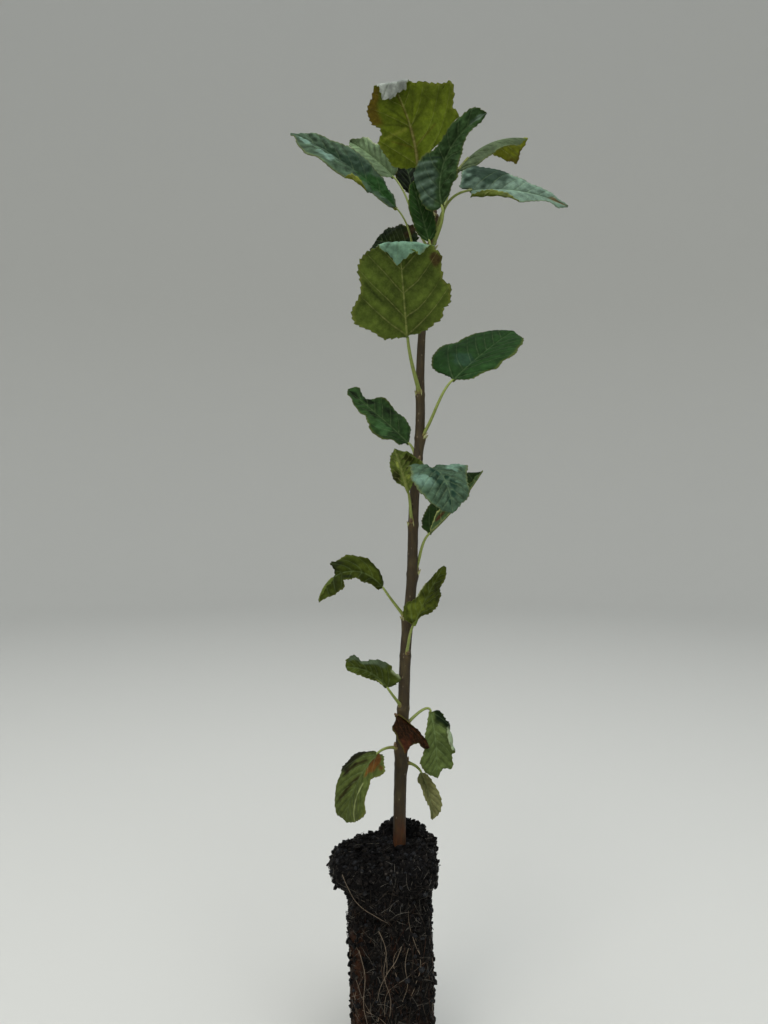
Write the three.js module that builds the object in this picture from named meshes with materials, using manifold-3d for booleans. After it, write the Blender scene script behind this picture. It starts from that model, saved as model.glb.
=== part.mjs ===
// Young broadleaf sapling standing on its root ball: one stem, 22 leaves on stalks, a plug of compost.
// Millimetres, +Z up. The origin is the centre of the root ball's flat underside.
// X points to the viewer's right and Y away from the viewer, as the plant is usually seen.
import * as THREE from "three";
import { mergeVertices } from "three/addons/utils/BufferGeometryUtils.js";
import Module from "manifold-3d";

const wasm = await Module();
wasm.setup();

// Clearance left between pieces that touch on the real plant
const clearance = 0.3;

// Root ball: a straight plug below, and a wider lump above it that leans to the left
const ball = {
  height: 150,
  footWidth: 56,
  plugWidth: 58,
  lumpWidth: 75,
  lumpDepth: 70,
  lumpShift: -6,
  lumpStart: 110,
  lumpFull: 128,
  corner: 4,
  squareness: 4,
  bump: 1.3,
  bumpsAround: [3, 5],
  bumpsUp: [17, 11],
  flatFoot: 20,
  topShare: 0.6,
  topRise: 1,
  sides: 26,
};

// Stem: where its middle line runs, its radius on the way up, and how deep it stands in the ball
const stem = {
  seat: 12,
  flare: 1.3,
  flareHeight: 7,
  swelling: 0.1,
  swellingHeight: 5,
  sides: 12,
  rings: 24,
  route: [
    [2.8, 0, 138],
    [3.9, 0, 205],
    [5.7, -1, 245],
    [7.5, -1, 290],
    [11.2, 0, 330],
    [13.3, 1, 390],
    [17.3, 1, 440],
    [17.6, 0, 485],
    [21, -1, 535],
    [29, 0, 588],
  ],
  radius: [
    [138, 4.6],
    [205, 4.4],
    [280, 3.8],
    [380, 3.5],
    [450, 3.2],
    [520, 2.5],
    [588, 1.2],
  ],
};

// Leaf stalk: it leaves the stem at this slope, and its two ends run straight for these shares of its reach
const stalk = { rootRadius: 1.3, tipRadius: 0.8, slope: 50, leave: 0.35, arrive: 0.35, sides: 6, rings: 7 };

// Leaf blade: shares of its length where its first and last rows lie, and how rows crowd towards its base
const blade = { thickness: 1.2, rows: 8, columns: 3, first: 0.005, last: 0.97, crowding: 1.25 };

// Rows round a folded tip, and the share of the length kept free of other rows beside them
const creaseRows = { count: 6, margin: 0.04 };

// One leaf: node is the height on the stem where its stalk leaves, base is where the blade starts.
// bearing is the compass turn of the blade from +X towards +Y, and rise its slope at the base.
// bend droops it over its length, sweep curves it to its right, roll and twist turn it about its midrib.
// foldLeft and foldRight lift the halves, lobe draws the base corners back beside the stalk,
// start and taper set how bluntly the outline opens and closes, and crease folds the tip over:
// it begins at that share of the length, turned by skew, with a radius in millimetres.
const plainLeaf = {
  roll: 0,
  bend: 0,
  sweep: 0,
  twist: 0,
  foldLeft: 12,
  foldRight: 12,
  lobe: 0,
  start: 0.42,
  taper: 0.8,
  crease: null,
  dead: false,
};

// Lowest leaf first
const leaves = [
  {
    node: 207, base: [18, 2, 202], length: 32, width: 16,
    bearing: 317, rise: -52, bend: 40, foldLeft: 70,
  },
  {
    node: 217, base: [-12, -8, 218], length: 50, width: 41,
    bearing: 210, rise: -35, bend: 50, taper: 0.5, lobe: 4,
  },
  {
    node: 232, base: [25, 6, 243], length: 46, width: 25,
    bearing: 283, rise: -41, bend: 60, start: 0.8, taper: 0.45,
  },
  {
    node: 236, base: [1, -8, 244], length: 31, width: 24,
    bearing: 337, rise: -32, roll: -40, bend: 30, foldLeft: 30, foldRight: 30, dead: true,
  },
  {
    node: 246, base: [-5, -12, 263], length: 34, width: 18,
    bearing: 195, rise: 56, roll: 70, bend: 20, sweep: -50, foldLeft: 25, foldRight: 25, taper: 0.5,
  },
  {
    node: 282, base: [12, -14, 306], length: 46, width: 28,
    bearing: 325, rise: 64, roll: -65, bend: 10, start: 0.3,
  },
  {
    node: 307, base: [-8, -6, 330], length: 62, width: 22,
    bearing: 190, rise: 56, roll: 45, bend: 50, sweep: -122,
  },
  {
    node: 338, base: [24, 4, 367], length: 72, width: 36,
    bearing: 27, rise: 38, roll: -26, bend: 6, sweep: -22, foldLeft: 5, foldRight: 80,
  },
  {
    node: 372, base: [9, -7, 395], length: 38, width: 24,
    bearing: 243, rise: 62, roll: -12, bend: 26, taper: 0.6,
  },
  {
    node: 414, base: [22, -25, 410], length: 54, width: 44,
    bearing: 288, rise: 8, bend: 88,
  },
  {
    node: 418, base: [10, 7, 430], length: 66, width: 32,
    bearing: 152, rise: 43, roll: 30, bend: 10,
  },
  {
    node: 432, base: [39, -6, 472], length: 69, width: 54,
    bearing: 30, rise: 42, roll: -22, bend: 12, foldRight: 5, taper: 0.55, lobe: 9,
  },
  {
    node: 462, base: [8, -24, 497], length: 78, width: 65,
    bearing: 258, rise: 62, foldLeft: -4, foldRight: -4, taper: 0.58, lobe: 3,
    crease: { at: 0.745, angle: 165, skew: -2, radius: 3 },
  },
  {
    node: 530, base: [13, 13, 569], length: 38, width: 33,
    bearing: 142, rise: 23, roll: 62, bend: 8, start: 0.36, taper: 0.36,
  },
  {
    node: 580, base: [13.5, 14, 606], length: 46, width: 24,
    bearing: 125, rise: 74, roll: 4, bend: 14,
  },
  {
    node: 563, base: [51, -10, 600], length: 68, width: 32,
    bearing: 342, rise: 0, roll: -60, bend: 40, lobe: 8,
  },
  {
    node: 575, base: [44, 14, 623], length: 61, width: 36,
    bearing: 8, rise: 60, roll: 10, bend: 66, twist: -20, foldLeft: -30, foldRight: -50, taper: 0.5,
  },
  {
    node: 535, base: [23, -11.5, 565], length: 40, width: 18,
    bearing: 196, rise: 73, roll: 80, taper: 0.6,
  },
  {
    node: 560, base: [31, -18, 586], length: 70, width: 30,
    bearing: 155, rise: 74, roll: 92, sweep: 92, foldLeft: 32, foldRight: 15, taper: 0.9, lobe: 3,
  },
  {
    node: 562, base: [-1, 8, 617], length: 50, width: 24,
    bearing: 159, rise: 49, roll: 55, bend: 20, foldLeft: 20, foldRight: 40,
  },
  {
    node: 538, base: [1, -9, 588], length: 89, width: 42,
    bearing: 191, rise: 44, roll: 50, bend: 24, foldLeft: 14, foldRight: 24, taper: 0.85, lobe: 3,
  },
  {
    node: 585, base: [16, -2, 619], length: 69, width: 61,
    bearing: 256, rise: 63, sweep: 34, foldLeft: 0, foldRight: 0, start: 0.6, taper: 0.45, lobe: 4,
    crease: { at: 0.76, angle: 165, skew: -24, radius: 2.5 },
  },
];

const finishes = {
  bark: { color: 0x4f4036, roughness: 0.85, metalness: 0 },
  stalk: { color: 0x86903f, roughness: 0.6, metalness: 0 },
  leaf: { color: 0x2f4f2a, roughness: 0.55, metalness: 0 },
  deadLeaf: { color: 0x45271a, roughness: 0.85, metalness: 0 },
  compost: { color: 0x171210, roughness: 0.98, metalness: 0 },
};

// Steps in which a whole midrib is walked
const midribSteps = 40;

const radians = THREE.MathUtils.degToRad;

// Value at x on a broken line through the points
function between(points, x) {
  const last = points.length - 1;
  if (x <= points[0][0]) return points[0][1];
  if (x >= points[last][0]) return points[last][1];
  const i = points.findIndex((p) => p[0] > x);
  const [[x0, y0], [x1, y1]] = [points[i - 1], points[i]];
  return y0 + ((y1 - y0) * (x - x0)) / (x1 - x0);
}

// Closed surface through rings of equally many points, with both end rings zipped shut
function loft(rings) {
  const n = rings[0].length;
  const index = [];
  for (let k = 0; k < rings.length - 1; k++) {
    for (let i = 0; i < n; i++) {
      const a = k * n + i;
      const b = k * n + ((i + 1) % n);
      index.push(a, b, b + n, a, b + n, a + n);
    }
  }
  const end = (rings.length - 1) * n;
  for (let i = 0; i < n / 2 - 1; i++) {
    const j = n - 1 - i;
    index.push(i, j, j - 1, i, j - 1, i + 1);
    index.push(end + i, end + i + 1, end + j - 1, end + i, end + j - 1, end + j);
  }
  const corners = rings.flat().flatMap((point) => point.toArray());
  const geometry = new THREE.BufferGeometry();
  geometry.setAttribute("position", new THREE.Float32BufferAttribute(corners, 3));
  geometry.setIndex(index);
  return geometry;
}

function toSolid(geometry) {
  const welded = mergeVertices(geometry);
  return new wasm.Manifold(
    new wasm.Mesh({
      numProp: 3,
      vertProperties: welded.attributes.position.array,
      triVerts: new Uint32Array(welded.index.array),
    }),
  );
}

function toGeometry(solid) {
  const { vertProperties, triVerts } = solid.getMesh();
  const geometry = new THREE.BufferGeometry();
  geometry.setAttribute("position", new THREE.BufferAttribute(vertProperties, 3));
  geometry.setIndex(new THREE.BufferAttribute(triVerts, 1));
  return geometry;
}

// Ring of points round a middle, in the plane of two directions
function circle(middle, across, up, radius, sides) {
  return Array.from({ length: sides }, (_, i) => {
    const angle = (2 * Math.PI * i) / sides;
    return middle
      .clone()
      .addScaledVector(across, radius * Math.cos(angle))
      .addScaledVector(up, radius * Math.sin(angle));
  });
}

// The stem's middle line, looked up by height
const route = new THREE.CatmullRomCurve3(stem.route.map((p) => new THREE.Vector3(...p))).getPoints(200);
const routeX = route.map((p) => [p.z, p.x]);
const routeY = route.map((p) => [p.z, p.y]);

function stemAt(z) {
  return new THREE.Vector3(between(routeX, z), between(routeY, z), z);
}

// Radius with the flare just above the compost and a slight swelling at each leaf's node
function stemRadius(z) {
  const above = Math.max(0, z - ball.height);
  const flare = stem.flare * Math.exp(-above / stem.flareHeight);
  const nearest = Math.min(...leaves.map((leaf) => Math.abs(z - leaf.node)));
  const swelling = stem.swelling * Math.exp(-((nearest / stem.swellingHeight) ** 2));
  return between(stem.radius, z) * (1 + swelling) + flare;
}

function stemGeometry(extra) {
  const foot = ball.height - stem.seat - extra;
  const top = stem.route.at(-1)[2] + extra;
  const across = new THREE.Vector3(1, 0, 0);
  const back = new THREE.Vector3(0, 1, 0);
  const rings = [];
  for (let i = 0; i <= stem.rings; i++) {
    const z = foot + ((top - foot) * i) / stem.rings;
    rings.push(circle(stemAt(z), across, back, stemRadius(z) + extra, stem.sides));
  }
  return loft(rings);
}

// Half-width of the ball at a height: the plug, then the lump that overhangs it
function ballSection(z) {
  const share = THREE.MathUtils.smoothstep(z, ball.lumpStart, ball.lumpFull);
  const foot = THREE.MathUtils.smoothstep(z, 0, 2 * ball.corner);
  const plug = THREE.MathUtils.lerp(ball.footWidth, ball.plugWidth, foot);
  const edge = Math.min(1, (ball.height - z) / ball.corner);
  const round = ball.corner * (1 - Math.sqrt(1 - (1 - edge) ** 2));
  return {
    x: THREE.MathUtils.lerp(plug, ball.lumpWidth, share) / 2 - round,
    y: THREE.MathUtils.lerp(plug, ball.lumpDepth, share) / 2 - round,
    shift: ball.lumpShift * share,
  };
}

// Slight hollows and bumps on the ball's sides, none at its flat foot
function ballBump(angle, z) {
  const [slow, fast] = ball.bumpsAround;
  const [long, short] = ball.bumpsUp;
  const wave = Math.sin(slow * angle + z / long) * Math.sin(fast * angle - z / short);
  return ball.bump * wave * Math.min(1, z / ball.flatFoot);
}

// Ring of a square with round corners, at a share of its full size
function ballRing(z, size) {
  const section = ballSection(z);
  return Array.from({ length: ball.sides }, (_, i) => {
    const angle = (2 * Math.PI * i) / ball.sides;
    const [c, s] = [Math.cos(angle), Math.sin(angle)];
    const power = ball.squareness;
    const square = (Math.abs(c) ** power + Math.abs(s) ** power) ** (-1 / power);
    const bump = ballBump(angle, z);
    const x = size * c * (section.x * square + bump) + section.shift;
    const y = size * s * (section.y * square + bump);
    return new THREE.Vector3(x, y, z);
  });
}

function ballGeometry() {
  const plug = [0, 8, 30, 55, 80, ball.lumpStart];
  const rise = ball.lumpFull - ball.lumpStart;
  const overhang = [0.3, 0.5, 0.7, 1].map((share) => ball.lumpStart + rise * share);
  const shoulder = [-2, 0, 0.4, 1].map((share) => ball.height - ball.corner * (1 - share));
  const rings = [...plug, ...overhang, ...shoulder].map((z) => ballRing(z, 1));
  const top = ballRing(ball.height, ball.topShare);
  rings.push(top.map((point) => point.setZ(ball.height + ball.topRise)));
  return loft(rings);
}

// The blade's own directions: forward along the midrib, right across it, up out of its upper face
function leafFrame(leaf) {
  const [b, r] = [radians(leaf.bearing), radians(leaf.rise)];
  const forward = new THREE.Vector3(Math.cos(b) * Math.cos(r), Math.sin(b) * Math.cos(r), Math.sin(r));
  const right = new THREE.Vector3(Math.sin(b), -Math.cos(b), 0);
  const frame = { forward, right, up: right.clone().cross(forward) };
  turn(frame, frame.forward, -leaf.roll);
  return frame;
}

function turn(frame, axis, degrees) {
  const about = axis.clone();
  for (const direction of Object.values(frame)) direction.applyAxisAngle(about, radians(degrees));
}

// Frames along the midrib at the given shares of its length
function midrib(leaf, shares) {
  const frame = leafFrame(leaf);
  const middle = new THREE.Vector3(...leaf.base);
  const found = [];
  let last = 0;
  for (const share of shares) {
    const steps = Math.max(1, Math.ceil((share - last) * midribSteps));
    const step = (share - last) / steps;
    for (let i = 0; i < steps; i++) {
      middle.addScaledVector(frame.forward, leaf.length * step);
      turn(frame, frame.right, -leaf.bend * step);
      turn(frame, frame.up, -leaf.sweep * step);
      turn(frame, frame.forward, -leaf.twist * step);
    }
    last = share;
    found.push({
      middle: middle.clone(),
      forward: frame.forward.clone(),
      right: frame.right.clone(),
      up: frame.up.clone(),
    });
  }
  return found;
}

// Half-width at a share of the length
function outline(leaf, share) {
  const widest = leaf.start / (leaf.start + leaf.taper);
  return 0.5 * leaf.width * (share / widest) ** leaf.start * ((1 - share) / (1 - widest)) ** leaf.taper;
}

// Wraps points that lie beyond the crease line round it, towards the underside
function foldOver(leaf, points) {
  const { at, angle, skew, radius } = leaf.crease;
  const [place] = midrib(leaf, [at]);
  const frame = { forward: place.forward, right: place.right, up: place.up };
  turn(frame, frame.up, -skew);
  const whole = radians(angle);
  for (const point of points) {
    const offset = point.clone().sub(place.middle);
    const beyond = offset.dot(frame.forward);
    if (beyond <= 0) continue;
    const height = offset.dot(frame.up);
    const swing = Math.min(beyond / radius, whole);
    const rest = Math.max(0, beyond - radius * whole);
    const reach = (radius + height) * Math.sin(swing) + rest * Math.cos(swing);
    const drop = (radius + height) * Math.cos(swing) - radius - rest * Math.sin(swing);
    point.addScaledVector(frame.forward, reach - beyond).addScaledVector(frame.up, drop - height);
  }
}

// Shares of the length where the blade has a row, closer together round a crease
function bladeRows(leaf) {
  const rows = [];
  for (let i = 0; i <= blade.rows; i++) {
    rows.push(THREE.MathUtils.lerp(blade.first, blade.last, (i / blade.rows) ** blade.crowding));
  }
  if (!leaf.crease) return rows;
  const { at, angle, radius } = leaf.crease;
  const arc = (radius * radians(angle)) / leaf.length;
  const isClear = (share) => share < at - creaseRows.margin || share > at + arc + creaseRows.margin;
  const bent = Array.from({ length: creaseRows.count }, (_, i) => at + (arc * i) / (creaseRows.count - 1));
  return [...rows.filter(isClear), ...bent].sort((a, b) => a - b);
}

function bladeGeometry(leaf) {
  const shares = bladeRows(leaf);
  const frames = midrib(leaf, shares);
  const rings = frames.map(({ middle, forward, right, up }, k) => {
    const half = outline(leaf, shares[k]);
    const upper = [];
    const lower = [];
    for (let i = -blade.columns; i <= blade.columns; i++) {
      const u = i / blade.columns;
      const fold = radians(i < 0 ? leaf.foldLeft : leaf.foldRight);
      const back = leaf.lobe * u * u * (1 - shares[k]) ** 4;
      const point = middle
        .clone()
        .addScaledVector(right, half * u * Math.cos(fold))
        .addScaledVector(up, half * Math.abs(u) * Math.sin(fold))
        .addScaledVector(forward, clearance - back);
      const lean = i === 0 ? 0 : Math.sign(i) * Math.sin(fold);
      const out = up.clone().addScaledVector(right, -lean).normalize().multiplyScalar(blade.thickness / 2);
      upper.push(point.clone().add(out));
      lower.unshift(point.clone().sub(out));
    }
    return [...upper, ...lower];
  });
  if (leaf.crease) foldOver(leaf, rings.flat());
  return loft(rings);
}

// Stalk from the stem's middle line to the blade's base, leaving the stem at a slope
function stalkCurve(leaf) {
  const start = stemAt(leaf.node);
  const end = new THREE.Vector3(...leaf.base);
  const reach = start.distanceTo(end);
  const out = end.clone().sub(start).setZ(0).normalize();
  const leaving = out.multiplyScalar(Math.cos(radians(stalk.slope))).setZ(Math.sin(radians(stalk.slope)));
  const arriving = leafFrame(leaf).forward;
  return new THREE.CubicBezierCurve3(
    start,
    start.clone().addScaledVector(leaving, stalk.leave * reach),
    end.clone().addScaledVector(arriving, -stalk.arrive * reach),
    end,
  );
}

// Tapering stalk, widened and lengthened by extra where it is the room that a blade leaves for it
function stalkGeometry(leaf, extra) {
  const curve = stalkCurve(leaf);
  const side = leafFrame(leaf).right;
  const rings = [];
  for (let i = 0; i <= stalk.rings; i++) {
    const share = i / stalk.rings;
    const middle = curve.getPoint(share);
    const tangent = curve.getTangent(share);
    const across = side.clone().addScaledVector(tangent, -side.dot(tangent)).normalize();
    const up = tangent.clone().cross(across);
    const radius = THREE.MathUtils.lerp(stalk.rootRadius, stalk.tipRadius, share) + extra;
    if (share === 1) middle.addScaledVector(tangent, extra);
    rings.push(circle(middle, across, up, radius, stalk.sides));
  }
  return loft(rings);
}

function piece(name, geometry, finish) {
  const mesh = new THREE.Mesh(geometry, new THREE.MeshStandardMaterial(finish));
  mesh.name = name;
  return mesh;
}

const stemRoom = toSolid(stemGeometry(clearance));

function rootBall() {
  const ballSolid = toSolid(ballGeometry()).subtract(stemRoom);
  return piece("root_ball", toGeometry(ballSolid), finishes.compost);
}

function leafGroup(leaf, number) {
  const name = "leaf_" + String(number).padStart(2, "0");
  const group = new THREE.Group();
  const stalkSolid = toSolid(stalkGeometry(leaf, 0)).subtract(stemRoom);
  const bladeSolid = toSolid(bladeGeometry(leaf)).subtract(toSolid(stalkGeometry(leaf, clearance)));
  group.add(piece(name + "_stalk", toGeometry(stalkSolid), leaf.dead ? finishes.deadLeaf : finishes.stalk));
  group.add(piece(name + "_blade", toGeometry(bladeSolid), leaf.dead ? finishes.deadLeaf : finishes.leaf));
  return group;
}

const sapling = new THREE.Group();
sapling.add(rootBall());
sapling.add(piece("trunk", stemGeometry(0), finishes.bark));
leaves.forEach((leaf, i) => sapling.add(leafGroup({ ...plainLeaf, ...leaf }, i + 1)));

export default sapling;
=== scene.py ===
import bpy
import math
import random
import numpy as np
from mathutils import Matrix, Vector, noise
from mathutils.bvhtree import BVHTree


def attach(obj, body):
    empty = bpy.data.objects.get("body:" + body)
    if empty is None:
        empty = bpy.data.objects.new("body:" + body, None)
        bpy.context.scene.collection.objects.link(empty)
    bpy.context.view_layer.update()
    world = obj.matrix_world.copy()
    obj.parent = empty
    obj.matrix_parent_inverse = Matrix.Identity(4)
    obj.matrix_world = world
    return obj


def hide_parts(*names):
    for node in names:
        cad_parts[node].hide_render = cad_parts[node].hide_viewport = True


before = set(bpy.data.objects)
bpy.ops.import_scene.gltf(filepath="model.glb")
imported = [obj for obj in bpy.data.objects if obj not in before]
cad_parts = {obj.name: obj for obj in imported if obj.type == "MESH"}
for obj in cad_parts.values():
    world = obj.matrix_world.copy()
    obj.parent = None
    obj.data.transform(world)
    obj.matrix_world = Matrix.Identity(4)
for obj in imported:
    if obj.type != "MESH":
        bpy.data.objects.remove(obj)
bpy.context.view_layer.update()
mm = 0.001
print("frame loaded:", len(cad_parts), "nodes")


# Camera, level with the upper half of the plant and close to it
view = {
    "place": (-7.6, -531, 382),    # mm
    "focalPixels": 769.2,
    "imageHeight": 1024,
    "sensor": 36.0,
}
cameraData = bpy.data.cameras.new("camera")
cameraData.sensor_width = view["sensor"]
cameraData.lens = view["focalPixels"] / view["imageHeight"] * view["sensor"]
camera = bpy.data.objects.new("camera", cameraData)
camera.location = Vector(view["place"]) * mm
camera.rotation_euler = (math.radians(90), 0, 0)
bpy.context.collection.objects.link(camera)
bpy.context.scene.camera = camera
bpy.context.scene.view_settings.view_transform = "Standard"


def linear(hexColor):
    # sRGB hex to the linear colour a shader wants
    channels = [int(hexColor[i:i + 2], 16) / 255 for i in (1, 3, 5)]
    return [c / 12.92 if c <= 0.04045 else ((c + 0.055) / 1.055) ** 2.4 for c in channels] + [1.0]


def addNode(material, kind, settings=None, links=None):
    # settings go to inputs by name or number, or else to the node itself
    # links bring sockets to inputs, and of a node its first output
    node = material.node_tree.nodes.new("ShaderNode" + kind)
    for name, value in (settings or {}).items():
        if isinstance(name, int) or name in node.inputs.keys():
            node.inputs[name].default_value = value
        else:
            setattr(node, name, value)
    for name, source in (links or {}).items():
        socket = source.outputs[0] if isinstance(source, bpy.types.Node) else source
        material.node_tree.links.new(socket, node.inputs[name])
    return node


def newMaterial(name):
    material = bpy.data.materials.new(name)
    material.use_nodes = True
    material.node_tree.nodes.clear()
    return material


def tonedMaterial(name):
    # a new material, the colours painted on its piece and the place on it
    material = newMaterial(name)
    tone = addNode(material, "Attribute", {"attribute_name": "tone"})
    return material, tone, addNode(material, "TexCoord").outputs["Object"]


def mottled(material, vector, tone, scale, detail, roughness, low, high):
    # the tone made darker and lighter by noise, between the shares low and high
    fleck = addNode(material, "TexNoise", {"Scale": scale, "Detail": detail, "Roughness": roughness},
                    {"Vector": vector})
    shade = addNode(material, "MapRange",
                    {"From Min": 0.3, "From Max": 0.7, "To Min": low, "To Max": high}, {0: fleck})
    mixed = addNode(material, "Mix", {"data_type": "RGBA", "blend_type": "MULTIPLY", 0: 1.0}, {7: shade})
    if isinstance(tone, str):
        mixed.inputs[6].default_value = linear(tone)
    else:
        material.node_tree.links.new(tone.outputs["Color"], mixed.inputs[6])
    return fleck, mixed.outputs[2]


def finished(material, settings, links):
    # the material with its shader and output
    shader = addNode(material, "BsdfPrincipled", settings, links)
    addNode(material, "OutputMaterial", links={"Surface": shader})
    return material


def deselectAll():
    if bpy.context.object and bpy.context.object.mode != "OBJECT":
        bpy.ops.object.mode_set(mode="OBJECT")
    bpy.ops.object.select_all(action="DESELECT")


def selectOnly(*pieces):
    # the first piece becomes the active one
    deselectAll()
    for piece in pieces:
        piece.select_set(True)
    bpy.context.view_layer.objects.active = pieces[0]


def applyModifier(piece, kind, **settings):
    selectOnly(piece)
    bpy.ops.object.modifier_add(type=kind)
    modifier = piece.modifiers[-1]
    for name, value in settings.items():
        setattr(modifier, name, value)
    bpy.ops.object.modifier_apply(modifier=modifier.name)


def editAll(piece, operator, **settings):
    # runs an edit mode operator on the whole mesh
    selectOnly(piece)
    bpy.ops.object.mode_set(mode="EDIT")
    bpy.ops.mesh.select_all(action="SELECT")
    operator(**settings)
    bpy.ops.object.mode_set(mode="OBJECT")


def mergeDoubles(piece):
    editAll(piece, bpy.ops.mesh.remove_doubles, threshold=0.002 * mm)


def joinPieces(name, pieces):
    selectOnly(*pieces)
    if len(pieces) > 1:
        bpy.ops.object.join()
    joined = bpy.context.object
    joined.name = name
    joined.data.name = name
    return joined


def smoothShading(piece):
    selectOnly(piece)
    bpy.ops.object.shade_smooth()


def addGrid(name, columns, rows):
    # a flat grid, 2 wide and 2 long, whose vertices are then moved into shape
    deselectAll()
    bpy.ops.mesh.primitive_grid_add(x_subdivisions=columns, y_subdivisions=rows, size=2)
    piece = bpy.context.object
    piece.name = name
    piece.data.name = name
    return piece


def readPoints(piece):
    points = np.empty(len(piece.data.vertices) * 3)
    piece.data.vertices.foreach_get("co", points)
    return points.reshape(-1, 3)


def writePoints(piece, points):
    piece.data.vertices.foreach_set("co", np.asarray(points, dtype=float).ravel())
    piece.data.update()


def addColors(piece, name, colors):
    layer = piece.data.color_attributes.new(name, "FLOAT_COLOR", "POINT")
    layer.data.foreach_set("color", np.asarray(colors, dtype=float).ravel())


def addNumbers(piece, name, numbers):
    layer = piece.data.attributes.new(name, "FLOAT", "POINT")
    layer.data.foreach_set("value", np.asarray(numbers, dtype=float))


def plainTone(count, hexColor):
    return np.tile(linear(hexColor), (count, 1))


def mixTone(tone, hexColor, share):
    share = share[:, None]
    return tone * (1 - share) + np.array(linear(hexColor)) * share


def smoothShare(low, high, x):
    share = np.clip((x - low) / (high - low), 0, 1)
    return share * share * (3 - 2 * share)


def waves(x, y, size, seed, count=9):
    # soft random hills about -1 to 1 high and size wide, the same for the same seed
    dice = random.Random(seed)
    total = np.zeros_like(x)
    for _ in range(count):
        turn = dice.uniform(0, 2 * math.pi)
        pitch = 2 * math.pi / (size * dice.uniform(0.7, 1.6))
        total += np.sin(pitch * (x * math.cos(turn) + y * math.sin(turn)) + dice.uniform(0, 2 * math.pi))
    return total / math.sqrt(count) / 1.4


def smoothLine(points, x):
    # height at x on a smooth line through the points, whose slope at each is that between its neighbours
    xs, ys = np.array(points, dtype=float).T
    slopes = np.gradient(ys, xs)
    i = np.clip(np.searchsorted(xs, x, side="right") - 1, 0, len(xs) - 2)
    step = xs[i + 1] - xs[i]
    s = np.clip((x - xs[i]) / step, 0, 1)
    return ((1 + 2 * s) * (1 - s) ** 2 * ys[i] + s * (1 - s) ** 2 * step * slopes[i]
            + s * s * (3 - 2 * s) * ys[i + 1] - s * s * (1 - s) * step * slopes[i + 1])


def runAlong(points):
    # how far along a line of corners each corner lies
    return np.concatenate([[0], np.cumsum(np.linalg.norm(np.diff(points, axis=0), axis=1))])


# Leaf blades. Lengths are in mm and angles in degrees; each leaf gives only what differs from plainLeaf
# node is the height on the stem, base where the blade starts, bearing and rise its first direction
# roll turns it about its midrib, which bends down, sweeps to the right and twists on its way to the tip
# foldLeft and foldRight lift its halves and arch curves them down again
# crease folds the tip under: share of the length, angle, skew and radius; bloom is the colour seen there, a
# painted sky sheen on the tip's upper face
# edgeRight and edgeLeft draw a margin between base and tip, as (across, along)
# a leaf without them gets an outline that grows by the power start and narrows by the power taper
# tucks fold the flat leaf along a line: a point on it, the way across it, the angle and the radius
# teeth, toothGap, scallop and ripple shape the margin; pucker, quilt and wrinkle the skin
# veins counts the side veins of a half, veinSlope and alternate place them, veinShow widens them
# stalk is how thick the stalk is, stalkSlope and stalkLeave how steeply and how far it leaves the stem
# hollow darkens the skin beside the veins as painted shade, and band lightens one slope of each swelling
# between them and darkens the other, as painted light and shade
# top and under colour the faces, the olive under colours being the underside's own paler colour with a
# painted glow of light shining through the leaf, and underMarks is how much of the next three the underside
# shows
# blotches colour a spot: hex, across as -1 to 1, share of the length, size
# rims colour a margin: hex, side, from, to and how far out it begins
# streaks colour a thin line: hex, its two ends and its width
plainLeaf = {
    "roll": 0, "bend": 0, "sweep": 0, "twist": 0, "foldLeft": 12, "foldRight": 12, "arch": 14, "crease": None,
    "start": 0.42, "taper": 0.8, "edgeRight": None, "edgeLeft": None, "tucks": (),
    "teeth": 0.9, "toothGap": 3.6, "scallop": 0.6, "ripple": 1.0,
    "pucker": 0.35, "quilt": 0.25, "wrinkle": 0.1,
    "veins": 6, "veinSlope": 0.8, "alternate": 1.5, "veinShow": 1.0,
    "stalk": 1.0, "stalkSlope": 50, "stalkLeave": 0.35,
    # the plain olive underside colour is the underside's own paler colour with a painted glow of light
    # shining through the leaf
    "dead": False, "top": "#2b4a24", "under": "#4d5a1e", "tipSheen": None, "hollow": 0.25, "band": 0.1,
    "blotches": (), "rims": (), "streaks": (), "underMarks": 1.0,
}

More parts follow.
